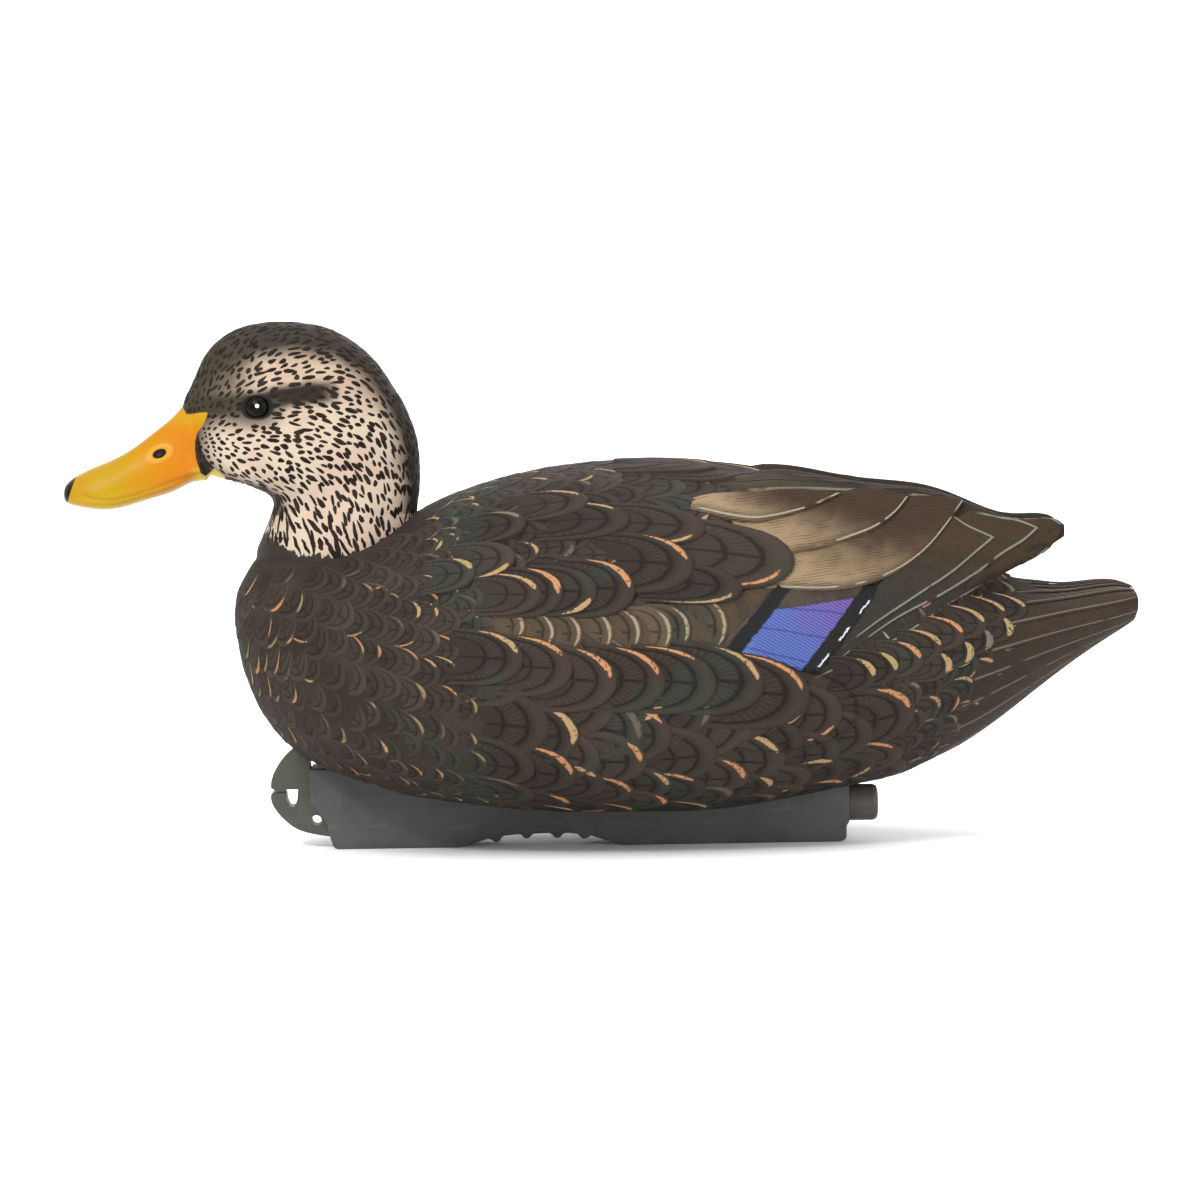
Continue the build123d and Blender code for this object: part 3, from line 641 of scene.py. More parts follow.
back = Plumage()
back_strokes = [
    (tan_stroke, 0.85), (salmon_stroke, 0.7), (grey_stroke, 0.5),
    (grey_stroke, 0.3), (grey_stroke, 0.0), (grey_stroke, 0.0),
]
places = seeds(11 * mm, 15 * mm, on_back, grow=grow_back)
scatter(back, places, 24 * mm, 19 * mm, 1.0 * mm, 0.72, back_strokes, flow=back_flow, grow=grow_back)
set_out(back, [
    (76.9, 164.0, 52, 30, 0.45, 0.30, tan_stroke), (52.5, 166.0, 44, 26, 0.5, 0.35, salmon_stroke),
    (-36.0, 128.0, 28, 20, -0.5, 0.3, tan_stroke), (-53.0, 122.0, 24, 18, 0.4, 0.3, straw_stroke),
    (-25.0, 115.0, 28, 20, 0.55, 0.4, tan_stroke), (-31.0, 140.0, 30, 20, 0.5, 0.3, grey_stroke),
    (-4.0, 149.0, 36, 20, 0.55, 0.3, tan_stroke), (13.5, 143.5, 40, 22, 0.6, 0.25, tan_stroke),
    (62.0, 119.0, 44, 20, -0.55, 0.38, tan_stroke), (85.5, 131.0, 58, 35, -0.5, 0.34, salmon_stroke),
    (46.5, 142.5, 46, 24, -0.55, 0.3, tan_stroke), (41.0, 127.5, 42, 30, 0.45, 0.34, salmon_stroke),
    (15.5, 117.5, 34, 28, 0.45, 0.42, salmon_stroke), (-1.0, 116.5, 30, 24, -0.45, 0.3, tan_stroke),
    (-15.5, 116.0, 28, 24, 0.4, 0.42, salmon_stroke),
], 0.1, 2.2 * mm, 0.62, 1.0 * mm)
back.both_sides("back_feathers", feather_material)


def on_middle(spot):
    return 0.072 <= spot.x < 0.098 and spot.z > 0.152


middle_back = Plumage()
places = seeds(17 * mm, 16 * mm, on_middle)
middle_strokes = [(grey_stroke, 0.5), (straw_stroke, 0.5)]
scatter(middle_back, places, 46 * mm, 20 * mm, 1.3 * mm, 0.6, middle_strokes, flow=back_flow)
middle_back.both_sides("middle_back_feathers", feather_material)


# ---- Folded wings ------------------------------------------------------------------------------
# The long flight feathers are broad steps in the moulding, one over the next like slats: coverts, the
# blue speculum between its black bars, three brown tertials, and the dark tips that cross the rump.
map_step = 0.003
map_x = np.arange(-0.066, 0.243, map_step)
map_z = np.arange(0.060, 0.186, map_step)
side_map = np.full((len(map_x), len(map_z)), np.nan)
for a, x in enumerate(map_x):
    for b, z in enumerate(map_z):
        hit = hull_tree.ray_cast(Vector((x, -reach, z)), Vector((0, 1, 0)), reach)[0]
        if hit is not None:
            side_map[a, b] = hit.y
for a in range(len(map_x)):
    good = np.flatnonzero(~np.isnan(side_map[a]))
    side_map[a] = np.interp(np.arange(len(map_z)), good, side_map[a][good]) if len(good) else side_map[a - 1]
for _ in range(2):
    side_map[1:-1] = (side_map[:-2] + 2 * side_map[1:-1] + side_map[2:]) / 4
    side_map[:, 1:-1] = (side_map[:, :-2] + 2 * side_map[:, 1:-1] + side_map[:, 2:]) / 4


def on_side(x, z):
    """The wing's surface and its normal at a place seen square from the left side, in metres."""
    a = min(max((x - map_x[0]) / map_step, 0), len(map_x) - 1.001)
    b = min(max((z - map_z[0]) / map_step, 0), len(map_z) - 1.001)
    i, j = int(a), int(b)
    u, v = a - i, b - j
    p, q, r, s = side_map[i, j], side_map[i + 1, j], side_map[i, j + 1], side_map[i + 1, j + 1]
    y = (p * (1 - u) + q * u) * (1 - v) + (r * (1 - u) + s * u) * v
    by_x = ((q - p) * (1 - v) + (s - r) * v) / map_step
    by_z = ((r - p) * (1 - u) + (s - q) * u) / map_step
    return Vector((x, y, z)), Vector((by_x, -1, by_z)).normalized()


def on_wing(x, z):
    """As on_side, but a place past the wing's outline settles on the hull's nearest surface."""
    spot, out = on_side(x, z)
    near, face, _, gap = hull_tree.find_nearest(spot)
    return (near, face) if gap > 0.8 * mm else (spot, out)


def smooth_line(points, count):
    """Evenly spaced points on a smooth curve through a few given ones."""
    points = np.array(points, float)
    chord = np.concatenate([[0], np.cumsum(np.linalg.norm(np.diff(points, axis=0), axis=1))])
    slopes = np.gradient(points, chord, axis=0)
    found = []
    for s in np.linspace(0, chord[-1], count):
        k = min(int(np.searchsorted(chord, s, "right")) - 1, len(points) - 2)
        h = chord[k + 1] - chord[k]
        t = (s - chord[k]) / h
        found.append(
            points[k] * (2 * t**3 - 3 * t**2 + 1) + slopes[k] * h * (t**3 - 2 * t**2 + t)
            + points[k + 1] * (3 * t**2 - 2 * t**3) + slopes[k + 1] * h * (t**3 - t**2)
        )
    return np.array(found)


# a slat's rows from edge to edge, and one more past each edge that is tucked under it
slat_rows = [
    -1.0, 0.0, 0.02, 0.05, 0.09, 0.15, 0.22, 0.3, 0.4, 0.5, 0.6, 0.7, 0.8, 0.88, 0.94, 0.98, 1.0, 2.0,
]
slat_sink = 0.6
slat_columns = 64


def slat(name, low, high, lift, material, root=0.2):
    """One broad feather between a lower and an upper edge line, in mm, on both wings."""
    low_line, high_line = smooth_line(low, slat_columns), smooth_line(high, slat_columns)
    points, across, rims, tops = [], [], [], []
    for u in range(slat_columns):
        share = u / (slat_columns - 1)
        deep = np.linalg.norm(high_line[u] - low_line[u])
        for v in slat_rows:
            at = low_line[u] + (high_line[u] - low_line[u]) * min(max(v, 0), 1)
            spot, out = on_wing(at[0] * mm, at[1] * mm)
            edge = min(v * deep, (1 - v) * deep * 1.4)
            swell = min(1.0, max(0.0, edge / 1.2)) ** 0.5 * 0.4 + 0.6
            fade = min(1.0, share / root) if root else 1.0
            tall = lift * swell * (0.25 + 0.75 * fade) * (1 - 0.4 * max(0.0, min(v, 1.0)))
            height = tall if -0.5 < v < 1.5 else -slat_sink
            points.append(spot + out * height * mm)
            across.append((share, min(max(v, 0), 1)))
            rims.append(max(0.0, min(v, 1.0)) * deep)
            tops.append((1 - max(0.0, min(v, 1.0))) * deep)
    count = len(slat_rows)
    first_end, last_end = points[:count], points[-count:]
    for end, share in ((first_end, 0.0), (last_end, 1.0)):
        for k, p in enumerate(end):
            spot, out = on_side(p.x, p.z)
            points.append(spot - out * slat_sink * mm)
            across.append((share, min(max(slat_rows[k], 0), 1)))
            rims.append(0.0)
            tops.append(9.0)
    faces = [
        (u * count + v, (u + 1) * count + v, (u + 1) * count + v + 1, u * count + v + 1)
        for u in range(slat_columns - 1)
        for v in range(count - 1)
    ]
    total = slat_columns * count
    last = total - count
    faces += [(total + k, k, k + 1, total + k + 1) for k in range(count - 1)]
    faces += [(last + k, total + count + k, total + count + k + 1, last + k + 1) for k in range(count - 1)]
    layers = [("rim", "FLOAT", "value", rims), ("top_rim", "FLOAT", "value", tops)]
    both_sides(name, points, faces, across, layers, material)


def slat_paint(
    name, light, dark, dark_from, dark_to, line_color, line=0.9, barb_lean=1.0, rachis=None, tip_line=False
):
    """Brown feather paint: a pale middle that darkens to the tip, hair lines, and a pale edge line."""
    paint = Paint(name, roughness=0.66, specular=0.06)
    place = paint.place()
    u, v, _ = paint.split(paint.node("UVMap", settings={"uv_map": "across"}))
    rim = paint.attribute("rim")
    wobble = paint.noise(place, 90.0, 3.0)
    x, _, z = paint.split(place)
    drift = paint.times_plus(wobble, 0.3, paint.times_plus(v, 0.35, u))
    color = paint.mix(paint.ramp(drift, dark_from + 0.15, dark_to + 0.15), light, dark)
    lower = paint.rest(paint.ramp(paint.times_plus(wobble, 3.0, rim), 2.2, 6.0))
    color = paint.mix(paint.times(lower, 0.6), color, dark)
    lean = paint.times_plus(x, barb_lean, z)
    barbs = paint.math("SINE", paint.times_plus(lean, 5200.0, paint.times(wobble, 9.0)))
    patches = paint.ramp(paint.noise(paint.scaled(place, (1.0, 1.0, 2.0)), 120.0, 2.0), 0.42, 0.62)
    hair = paint.times(paint.ramp(barbs, 0.2, 0.9), patches)
    color = paint.mix(paint.times(hair, 0.5), color, ink(44, 36, 30))
    if rachis is not None:
        shaft = paint.band(v, rachis, 0.012, 0.03)
        color = paint.mix(paint.times(shaft, 0.7), color, ink(34, 28, 24))
    gaps = paint.ramp(paint.noise(place, 70.0, 1.0), 0.36, 0.42)
    pale = paint.band(rim, 1.1, line * 0.45, line * 0.7)
    pale = paint.times(paint.times(pale, gaps), paint.ramp(u, 0.02, 0.08))
    if tip_line:
        upper = paint.band(paint.attribute("top_rim"), 0.9, line * 0.4, line * 0.65)
        pale = paint.math("MAXIMUM", pale, paint.times(upper, paint.ramp(u, 0.72, 0.78)))
    color = paint.mix(pale, color, line_color)
    return paint.finish(color, normal=paint.bump(barbs, 0.0002, 0.6))


def speculum_paint():
    """Blue to violet lacquer between two black bars, with white ticks behind the second."""
    paint = Paint("speculum_paint", roughness=0.45, specular=0.2)
    place = paint.place()
    u, v, _ = paint.split(paint.node("UVMap", settings={"uv_map": "across"}))
    x, _, z = paint.split(place)
    wobble = paint.noise(place, 110.0, 3.0)
    ragged = paint.times_plus(paint.noise(place, 420.0, 2.0), 0.05, -0.025)
    u_edge = paint.math("ADD", u, ragged)
    shade = paint.times_plus(wobble, 0.35, paint.times_plus(v, 0.75, paint.times(u, 0.55)))
    blue = paint.mix(paint.ramp(shade, 0.15, 0.45), ink(84, 142, 190), ink(78, 100, 176))
    blue = paint.mix(paint.ramp(shade, 0.62, 1.15), blue, ink(110, 78, 158))
    barbs = paint.math("SINE", paint.times(paint.times_plus(x, 0.62, z), 4300.0))
    blue = paint.mix(paint.times(paint.ramp(barbs, 0.1, 0.9), 0.45), blue, ink(52, 62, 140))
    blue = paint.mix(paint.times(paint.ramp(barbs, -0.6, -0.95), 0.3), blue, ink(150, 170, 232))
    steps = paint.math("FRACT", paint.times_plus(v, 3.6, paint.times_plus(wobble, 0.12, 0.1)))
    vane = paint.band(steps, 0.5, 0.02, 0.06)
    blue = paint.mix(paint.times(vane, 0.6), blue, ink(40, 52, 128))
    brown = paint.mix(paint.ramp(wobble, 0.4, 0.6), ink(62, 52, 44), ink(76, 64, 54))
    top = paint.less(v, paint.times_plus(u, 0.34, 0.55))
    above = paint.ramp(paint.math("ADD", top, ragged), -0.006, 0.006)
    color = paint.mix(above, blue, brown)
    first = paint.times_plus(v, -0.08, 0.23)
    bar = paint.rest(paint.ramp(paint.less(u_edge, first), -0.012, 0.012))
    color = paint.mix(bar, color, ink(12, 12, 12))
    before = paint.rest(paint.ramp(paint.less(u_edge, paint.times_plus(v, -0.09, 0.07)), -0.01, 0.01))
    color = paint.mix(before, color, brown)
    second = paint.less(u_edge, paint.times_plus(v, -0.03, 0.85))
    color = paint.mix(paint.ramp(second, -0.01, 0.01), color, ink(12, 12, 12))
    tick = paint.math("SINE", paint.times_plus(v, 21.0, -1.6))
    white = paint.times(paint.ramp(tick, -0.2, 0.25), paint.ramp(u_edge, 0.958, 0.968))
    white = paint.times(white, paint.rest(paint.ramp(u_edge, 0.98, 0.988)))
    color = paint.mix(white, color, ink(226, 234, 236))
    return paint.finish(color, normal=paint.bump(barbs, 0.0002, 0.7))


pale_line, green_line = ink(168, 162, 146), ink(138, 142, 130)
tip_paint = slat_paint(
    "wing_tip_paint", ink(60, 58, 52), ink(74, 60, 46), 0.45, 0.9, green_line, barb_lean=0.75, tip_line=True
)
# On the tertials the pale root and middle darkening to the tips is partly the feathers' own colour and partly
# painted light: paler where the light from the front falls.
brown_tertial = slat_paint(
    "tertial_paint", ink(164, 140, 110), ink(70, 55, 44), 0.3, 0.9, pale_line, line=0.6, barb_lean=-0.12
)
tail_wing_lines = [
    ("primary_3",
     [(88, 77), (108, 85), (129, 94), (153, 107.5), (170, 116.5), (182, 122.8), (192, 126.5), (200, 131),
      (205.5, 138.5)],
     [(105, 98), (130, 115), (150, 131), (172, 147), (184, 147), (202, 144.8), (205.5, 142.5)], 0.7),
    ("primary_2",
     [(98, 83), (110.6, 91.5), (126.3, 101.5), (152.5, 113.8), (165.5, 121), (178.6, 129.3), (189.1, 135),
      (194.8, 139.4)],
     [(108, 98), (130, 118), (150, 139), (163.8, 148.2), (174, 147.2), (189, 143.4), (194.8, 140.8)], 1.4),
    ("primary_1",
     [(103, 90), (118.3, 100.5), (139.2, 112.7), (156.2, 122.8), (165.3, 129.6), (174.2, 135.9)],
     [(112, 108), (125, 122), (140, 138), (154, 148), (161.5, 143.4), (174.2, 137.3)], 2.1),
]
for name, low, high, lift in tail_wing_lines:
    slat(name, low, high, lift, tip_paint, root=0.3)

slat(
    "speculum", [(50, 93), (64, 89.5), (79, 85), (93, 81)], [(79, 121), (94, 120), (109, 119.5), (124, 118)],
    1.5, speculum_paint(), root=0.0,
)

strip_line = ink(120, 116, 100)
strip_paint = slat_paint(
    "upper_strip_paint", ink(84, 74, 62), ink(58, 50, 44), 0.1, 0.8, strip_line,
    line=1.0, barb_lean=0.1, rachis=0.5,
)
slat(
    "upper_strip",
    [(62, 158.5), (77.5, 158.6), (106.7, 157.5), (126.7, 155.6), (147.4, 153.6), (161, 151.5)],
    [(58, 168), (71.8, 168.2), (101.8, 165.8), (120, 163.5), (135.7, 160.3), (153.9, 156.1), (162.4, 153)],
    1.6, strip_paint,
)
tertial_lines = [
    ("tertial_3",
     [(72, 118), (83.6, 117.3), (99.7, 116.4), (117.8, 118.7), (130.8, 123.7), (142.5, 131.2), (152.9, 141.4),
      (161.5, 152.4)],
     [(72, 134), (85.3, 134.5), (108, 138.6), (123.5, 144.2), (131.4, 149.5), (138, 155), (147, 155.6),
      (161.5, 153.2)], 2.6),
    ("tertial_2", [(64, 130.5), (85.3, 132.5), (108, 136.6), (123.5, 142.2), (131.4, 147.9), (136.9, 153.9)],
     [(58, 148), (78.5, 149.5), (92.8, 153), (106.4, 157.3), (120, 159.5), (136.9, 154.8)], 3.1),
    ("tertial_1", [(40, 152), (70.7, 145.5), (78.5, 146.7), (92.8, 150.3), (107, 156)],
     [(42, 158), (68.4, 158.7), (87.9, 159.4), (107, 157)], 3.5),
]
for name, low, high, lift in tertial_lines:
    slat(name, low, high, lift, brown_tertial, root=0.35)

covert_brown = ink(98, 84, 68)
covert_paint = slat_paint(
    "covert_paint", covert_brown, ink(84, 72, 58), 0.0, 0.9, covert_brown, line=0.1, barb_lean=0.3
)
slat(
    "covert_band", [(-46, 100), (-30, 95), (6, 91), (34, 90), (54, 90)],
    [(-46, 112), (-20, 110), (10, 112), (42, 114), (78, 121)], 0.9, covert_paint, root=0.0,
)
coverts = Plumage()
pale_arc = (*ink(172, 154, 130)[:3], 0.85)
covert_long = 24
for tip_x, tip_z, deep in (
    (55.6, 103.5, 27), (39.5, 102.0, 24), (31.5, 101.2, 24), (18.2, 101.2, 23), (6.0, 100.8, 22),
    (-7.4, 100.8, 21), (-19.0, 101.6, 20), (-31.8, 103.8, 18),
):
    spot, out = on_side((tip_x - covert_long) * mm, tip_z * mm)
    tone = ink(*chance.choice([(96, 82, 66), (104, 90, 72), (90, 77, 62)]))
    mark = (chance.uniform(-0.05, 0.25), chance.uniform(0.45, 0.6), 0.04)
    straight = Vector((1, 0, 0))
    coverts.add(spot, out, straight, covert_long * mm, deep * mm, 1.7 * mm, 0.5, mark, tone, pale_arc)
coverts.both_sides("covert_feathers", feather_material)


# ---- Tail --------------------------------------------------------------------------------------
# The tail is a short fan: stiff feathers side by side, each a long ridge with a pale line on its edge.
# They run out of the rump and end together at the tip.
tail_edges = [72, 65, 58, 52, 47, 42, 37, 32, 27, 22, 16, 8, 0]
strip_lines = 9
tail_paint = slat_paint(
    "tail_paint", ink(60, 51, 44), ink(70, 59, 50), 0.2, 0.9, ink(118, 106, 90), line=0.55, barb_lean=0.2
)


def tail_strip(name, first, last, start_x, lift):
    """A ridge along the skin between two columns of its grid, from start_x to the tail's end."""
    begin = int(np.searchsorted(grid[:, cols_n // 2, 0], start_x))
    steps = rows_n - begin
    points, across, rims = [], [], []
    for v in np.linspace(0, 1, strip_lines):
        for k in range(steps):
            spot, out = skin_at(begin + k, first + (last - first) * v)
            share = k / (steps - 1)
            tall = lift * min(1.0, share * 5) * (0.3 + 0.7 * (1 - v) ** 0.7)
            if v == 0:
                tall *= 0.6
            points.append(spot + out * tall)
            across.append((share, v))
            rims.append(v * 7.0)
    faces = [
        (v * steps + u, v * steps + u + 1, (v + 1) * steps + u + 1, (v + 1) * steps + u)
        for v in range(strip_lines - 1)
        for u in range(steps - 1)
    ]
    both_sides(name, points, faces, across, [("rim", "FLOAT", "value", rims)], tail_paint)


for k, (upper, lower) in enumerate(zip(tail_edges, tail_edges[1:])):
    start_x = max(0.140, 0.186 - 0.0055 * max(0, k - 2))
    tail_strip(f"tail_feather_{k + 1}", lower, upper, start_x, 1.3 * mm)


# ---- Head --------------------------------------------------------------------------------------
# The head, bill and neck are one moulding that turns in the body's socket. The bill's mouth line and
# nostrils are cast in; the face is cream, shaded dark at the crown and along the line through the eye.
def remade(node, name, voxel, soften):
    """A copy of a node's solid as an even, softened skin that can take fine detail."""
    raw = bpy.data.objects.new(name, nodes[node].data.copy())
    bpy.context.scene.collection.objects.link(raw)
    step = raw.modifiers.new("even", "REMESH")
    step.mode, step.voxel_size, step.use_smooth_shade = "VOXEL", voxel, True
    step = raw.modifiers.new("soft", "SMOOTH")
    step.factor, step.iterations = 0.5, soften
    even = bpy.data.meshes.new_from_object(raw.evaluated_get(bpy.context.evaluated_depsgraph_get()))
    raw.modifiers.clear()
    raw.data = even
    even.name = name
    even.materials.clear()
    return raw


def read_points(mesh):
    spots = np.empty(len(mesh.vertices) * 3, np.float32)
    mesh.vertices.foreach_get("co", spots)
    outs = np.empty(len(mesh.vertices) * 3, np.float32)
    mesh.vertices.foreach_get("normal", outs)
    return spots.reshape(-1, 3).astype(float) * 1000, outs.reshape(-1, 3).astype(float)


def write_points(mesh, spots):
    mesh.vertices.foreach_set("co", (spots / 1000).astype(np.float32).ravel())
    mesh.update()


def soft_step(value, low, high):
    t = np.clip((value - low) / (high - low), 0, 1)
    return t * t * (3 - 2 * t)


def from_line(x, z, points):
    """Distance in mm from an open line drawn on the side of the head."""
    nearest = np.full(len(x), 1e9)
    for (ax, az), (bx, bz) in zip(points, points[1:]):
        t = np.clip(((x - ax) * (bx - ax) + (z - az) * (bz - az)) / ((bx - ax) ** 2 + (bz - az) ** 2), 0, 1)
        nearest = np.minimum(nearest, np.hypot(x - ax - t * (bx - ax), z - az - t * (bz - az)))
    return nearest


def inside_of(x, z, points):
    """Distance in mm from a closed outline drawn on the side of the head, positive inside it."""
    inside = np.zeros(len(x), bool)
    for (ax, az), (bx, bz) in zip(points, points[1:] + points[:1]):
        crosses = ((az > z) != (bz > z)) & (x < (bx - ax) * (z - az) / (bz - az + 1e-9) + ax)
        inside ^= crosses
    return from_line(x, z, points + points[:1]) * np.where(inside, 1, -1)


head = remade("head_shell", "painted_head", 0.9 * mm, 5)
spots, outs = read_points(head.data)
x, y, z = spots.T
beside = np.abs(y)
mouth_line = [
    (-231, 161.2), (-226, 159.6), (-221, 158.9), (-215.3, 158.9),
    (-208, 160.4), (-200.4, 162.8), (-185.5, 167.8), (-172, 171.2),
]
nostril = (-196.0, 178.9)
bill_outline = [
    (-245, 200), (-186.0, 200), (-183.5, 196.1), (-173.5, 197.3), (-175.1, 192.8), (-178.3, 188.3),
    (-179.6, 183.7), (-179.1, 176.9), (-177, 170.1), (-171.2, 172.2), (-166.8, 168.4), (-166.8, 160),
    (-245, 140),
]
crescent = [
    (-178.3, 188.8), (-179.8, 183.7), (-179.4, 176.9), (-177.2, 169.3), (-175.1, 168.4), (-170.8, 172.2),
    (-174.3, 175.9), (-176.6, 180.3), (-177.6, 184.8),
]
brow_line = [
    (-180, 198.8), (-170.3, 200.2), (-161.3, 200.6), (-153.3, 201.0),
    (-143, 202.9), (-134, 204.7), (-127.2, 205.3), (-119, 205.6),
]
on_side_of_bill = soft_step(beside, 4.0, 7.0)
groove = np.exp(-((from_line(x, z, mouth_line) / 0.9) ** 2)) * on_side_of_bill
across_bore = (x - nostril[0]) * 0.93 + (z - nostril[1]) * 0.36
up_bore = -(x - nostril[0]) * 0.36 + (z - nostril[1]) * 0.93
bore = np.hypot(across_bore / 3.4, up_bore / 2.1)
outer = outs[:, 1] * np.sign(y) > 0.1
pit = (1 - soft_step(bore, 0.55, 1.05)) * (beside > 3) * outer
lip = np.exp(-(((bore - 1.35) / 0.3) ** 2)) * (beside > 3) * outer
eye_place = (-150.8, 199.1)
socket = np.hypot(x - eye_place[0], z - eye_place[1])
lid = np.hypot((x - eye_place[0]) / 6.4, (z - eye_place[1]) / 4.9)
lid_share = np.abs(z - eye_place[1]) / (socket + 0.1)
eyelid = np.exp(-(((lid - 1.12) / 0.16) ** 2)) * (beside > 15) * outer * (0.4 + 1.5 * lid_share)
on_bill = inside_of(x, z, bill_outline)
margin_step = soft_step(on_bill, -0.8, 0.8) * outer
brow = np.exp(-((from_line(x, z, brow_line) / 3.5) ** 2)) * (beside > 12) * outer * (socket > 6)
height = -0.55 * groove - 1.1 * pit + 0.25 * lip + 0.5 * eyelid - 0.15 * margin_step - 0.35 * brow
spots = spots + outs * height[:, None]
write_points(head.data, spots)


def mark_points(mesh, name, values):
    layer = mesh.attributes.new(name, "FLOAT", "POINT")
    layer.data.foreach_set("value", np.asarray(values, np.float32))


crown_x = [-186, -180.8, -178.3, -173.6, -163.2, -150.6, -133.5, -116.6, -102.1, -91, -83.3, -78]
crown_z = [190, 199.4, 206.2, 214.2, 223.4, 228.0, 230.0, 226.2, 217.9, 203.8, 189.1, 176]
crown = z - np.interp(x, crown_x, crown_z)
crown = np.maximum(crown, 9.0 - beside) * (z > 150) - 20.0 * (z <= 150)
fringe_x = [-155, -148.4, -142.9, -133.9, -121.5, -106.7, -95.3, -85.1, -78]
fringe_z = [146.5, 143.5, 138.6, 134.6, 133.4, 134.2, 136.6, 139.8, 142]
mark_points(head.data, "on_bill", on_bill)
mark_points(head.data, "crescent", inside_of(x, z, crescent))
mark_points(head.data, "nail", (-234.8 - x) + (z - 166.8) * 0.33)
mark_points(head.data, "bore", bore + 9.0 * (beside < 3))
mark_points(head.data, "mouth", from_line(x, z, mouth_line) + 9.0 * (1 - on_side_of_bill))
mark_points(head.data, "brow", from_line(x, z, brow_line) + 30.0 * (beside < 10))
mark_points(head.data, "eye_ring", lid * 5.5 + 30.0 * (beside < 12))
mark_points(head.data, "crown", crown)
mark_points(head.data, "fringe", z - np.interp(x, fringe_x, fringe_z))


def head_paint():
    paint = Paint("head_paint", roughness=0.55, specular=0.1)
    place = paint.place()
    x, y, z = paint.split(place)
    cloud = paint.noise(place, 45.0, 3.0)
    fine = paint.noise(place, 900.0, 2.0)
    wobble = paint.noise(place, 190.0, 2.0)
    drift = paint.times_plus(wobble, 2.0, -1.0)
    cream = paint.mix(paint.ramp(cloud, 0.38, 0.6), ink(222, 206, 182), ink(218, 192, 172))
    cream = paint.mix(paint.times(paint.ramp(z, 0.185, 0.215), 0.35), cream, ink(178, 148, 118))
    cream = paint.mix(paint.times(fine, 0.18), cream, ink(120, 96, 80))
    low_neck = paint.times(paint.ramp(z, 0.150, 0.110), 0.4)
    cream = paint.mix(low_neck, cream, ink(168, 142, 118))
    # airbrushed shade at the crown, the forehead and along the eye line
    crown = paint.ramp(paint.times_plus(cloud, 5.0, paint.attribute("crown")), -9.5, 0.8)
    face = paint.mix(crown, cream, ink(56, 49, 41))
    brow = paint.ramp(paint.times_plus(wobble, 2.0, paint.attribute("brow")), 8.2, 3.4)
    fade = paint.ramp(x, -0.106, -0.124)
    face = paint.mix(paint.times(brow, fade), face, ink(42, 36, 31))
    halo = paint.ramp(paint.attribute("eye_ring"), 15.0, 5.0)
    below = paint.ramp(z, 0.206, 0.198)
    face = paint.mix(paint.times(paint.times(halo, below), 0.8), face, ink(88, 82, 70))
    lores = paint.times(paint.ramp(z, 0.186, 0.196), paint.ramp(x, -0.146, -0.164))
    face = paint.mix(paint.times(lores, 0.72), face, ink(70, 62, 50))
    ring = paint.ramp(paint.attribute("eye_ring"), 7.0, 6.1)
    face = paint.mix(paint.times(ring, 0.95), face, ink(26, 24, 22))
    # bill
    bill = paint.mix(paint.ramp(x, -0.190, -0.226), ink(206, 136, 2), ink(188, 152, 10))
    orange = paint.times(paint.ramp(x, -0.204, -0.184), paint.ramp(z, 0.196, 0.184))
    bill = paint.mix(paint.times(orange, 0.8), bill, ink(212, 124, 8))
    low_edge = paint.ramp(paint.math("ADD", z, paint.times(x, -0.13)), 0.1925, 0.1875)
    bill = paint.mix(paint.times(low_edge, 0.45), bill, ink(208, 172, 34))
    gape = paint.times(paint.ramp(x, -0.184, -0.176), paint.ramp(z, 0.1735, 0.171))
    bill = paint.mix(gape, bill, ink(214, 188, 48))
    top = paint.times(paint.ramp(z, 0.188, 0.196), 0.7)
    bill = paint.mix(top, bill, ink(210, 164, 26))
    bill = paint.mix(paint.times(paint.ramp(cloud, 0.45, 0.7), 0.25), bill, ink(212, 130, 40))
    mouth = paint.ramp(paint.times_plus(wobble, 0.6, paint.attribute("mouth")), 1.3, 0.5)
    bill = paint.mix(paint.times(mouth, 0.3), bill, ink(150, 100, 30))
    bore = paint.ramp(paint.times_plus(wobble, 0.15, paint.attribute("bore")), 1.08, 0.96)
    around_bore = paint.times(paint.ramp(paint.attribute("bore"), 2.2, 1.6), 0.55)
    bill = paint.mix(around_bore, bill, ink(226, 172, 62))
    bill = paint.mix(bore, bill, ink(34, 22, 14))
    nail = paint.ramp(paint.attribute("nail"), -0.3, 0.3)
    bill = paint.mix(nail, bill, ink(24, 22, 22))
    seam = paint.ramp(paint.times_plus(drift, 0.35, paint.attribute("on_bill")), -0.25, 0.25)
    color = paint.mix(seam, face, bill)
    patch = paint.ramp(paint.times_plus(drift, 0.3, paint.attribute("crescent")), -0.25, 0.2)
    color = paint.mix(patch, color, ink(46, 40, 34))
    # the body's dark paint climbs the neck in ragged teeth
    teeth = paint.noise(paint.scaled(place, (1.0, 1.0, 0.22)), 330.0, 3.0, 0.7)
    hem = paint.times_plus(teeth, 11.0, -5.5)
    collar = paint.ramp(paint.math("ADD", paint.attribute("fringe"), hem), 0.25, -0.25)
    color = paint.mix(collar, color, ink(56, 50, 44))
    gloss = paint.times_plus(seam, -0.2, 0.58)
    return paint.finish(color, roughness=gloss, normal=paint.bump(fine, 0.00015, 0.5))


head.data.materials.append(head_paint())
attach(head, "head")
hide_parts("head_shell")


# ---- Flecks on the face and neck ---------------------------------------------------------------
# Every fleck is one small raised dash, painted dark. They stream back from the bill, short on the
# face, longer on the cheek, and turn down the neck as long wavy strokes.
head_tree = BVHTree.FromPolygons([Vector(p) for p in spots], [p.vertices for p in head.data.polygons])
bill_root = np.array([-184.6, 184.5])
neck_foot = np.array([-116.0, 92.0])


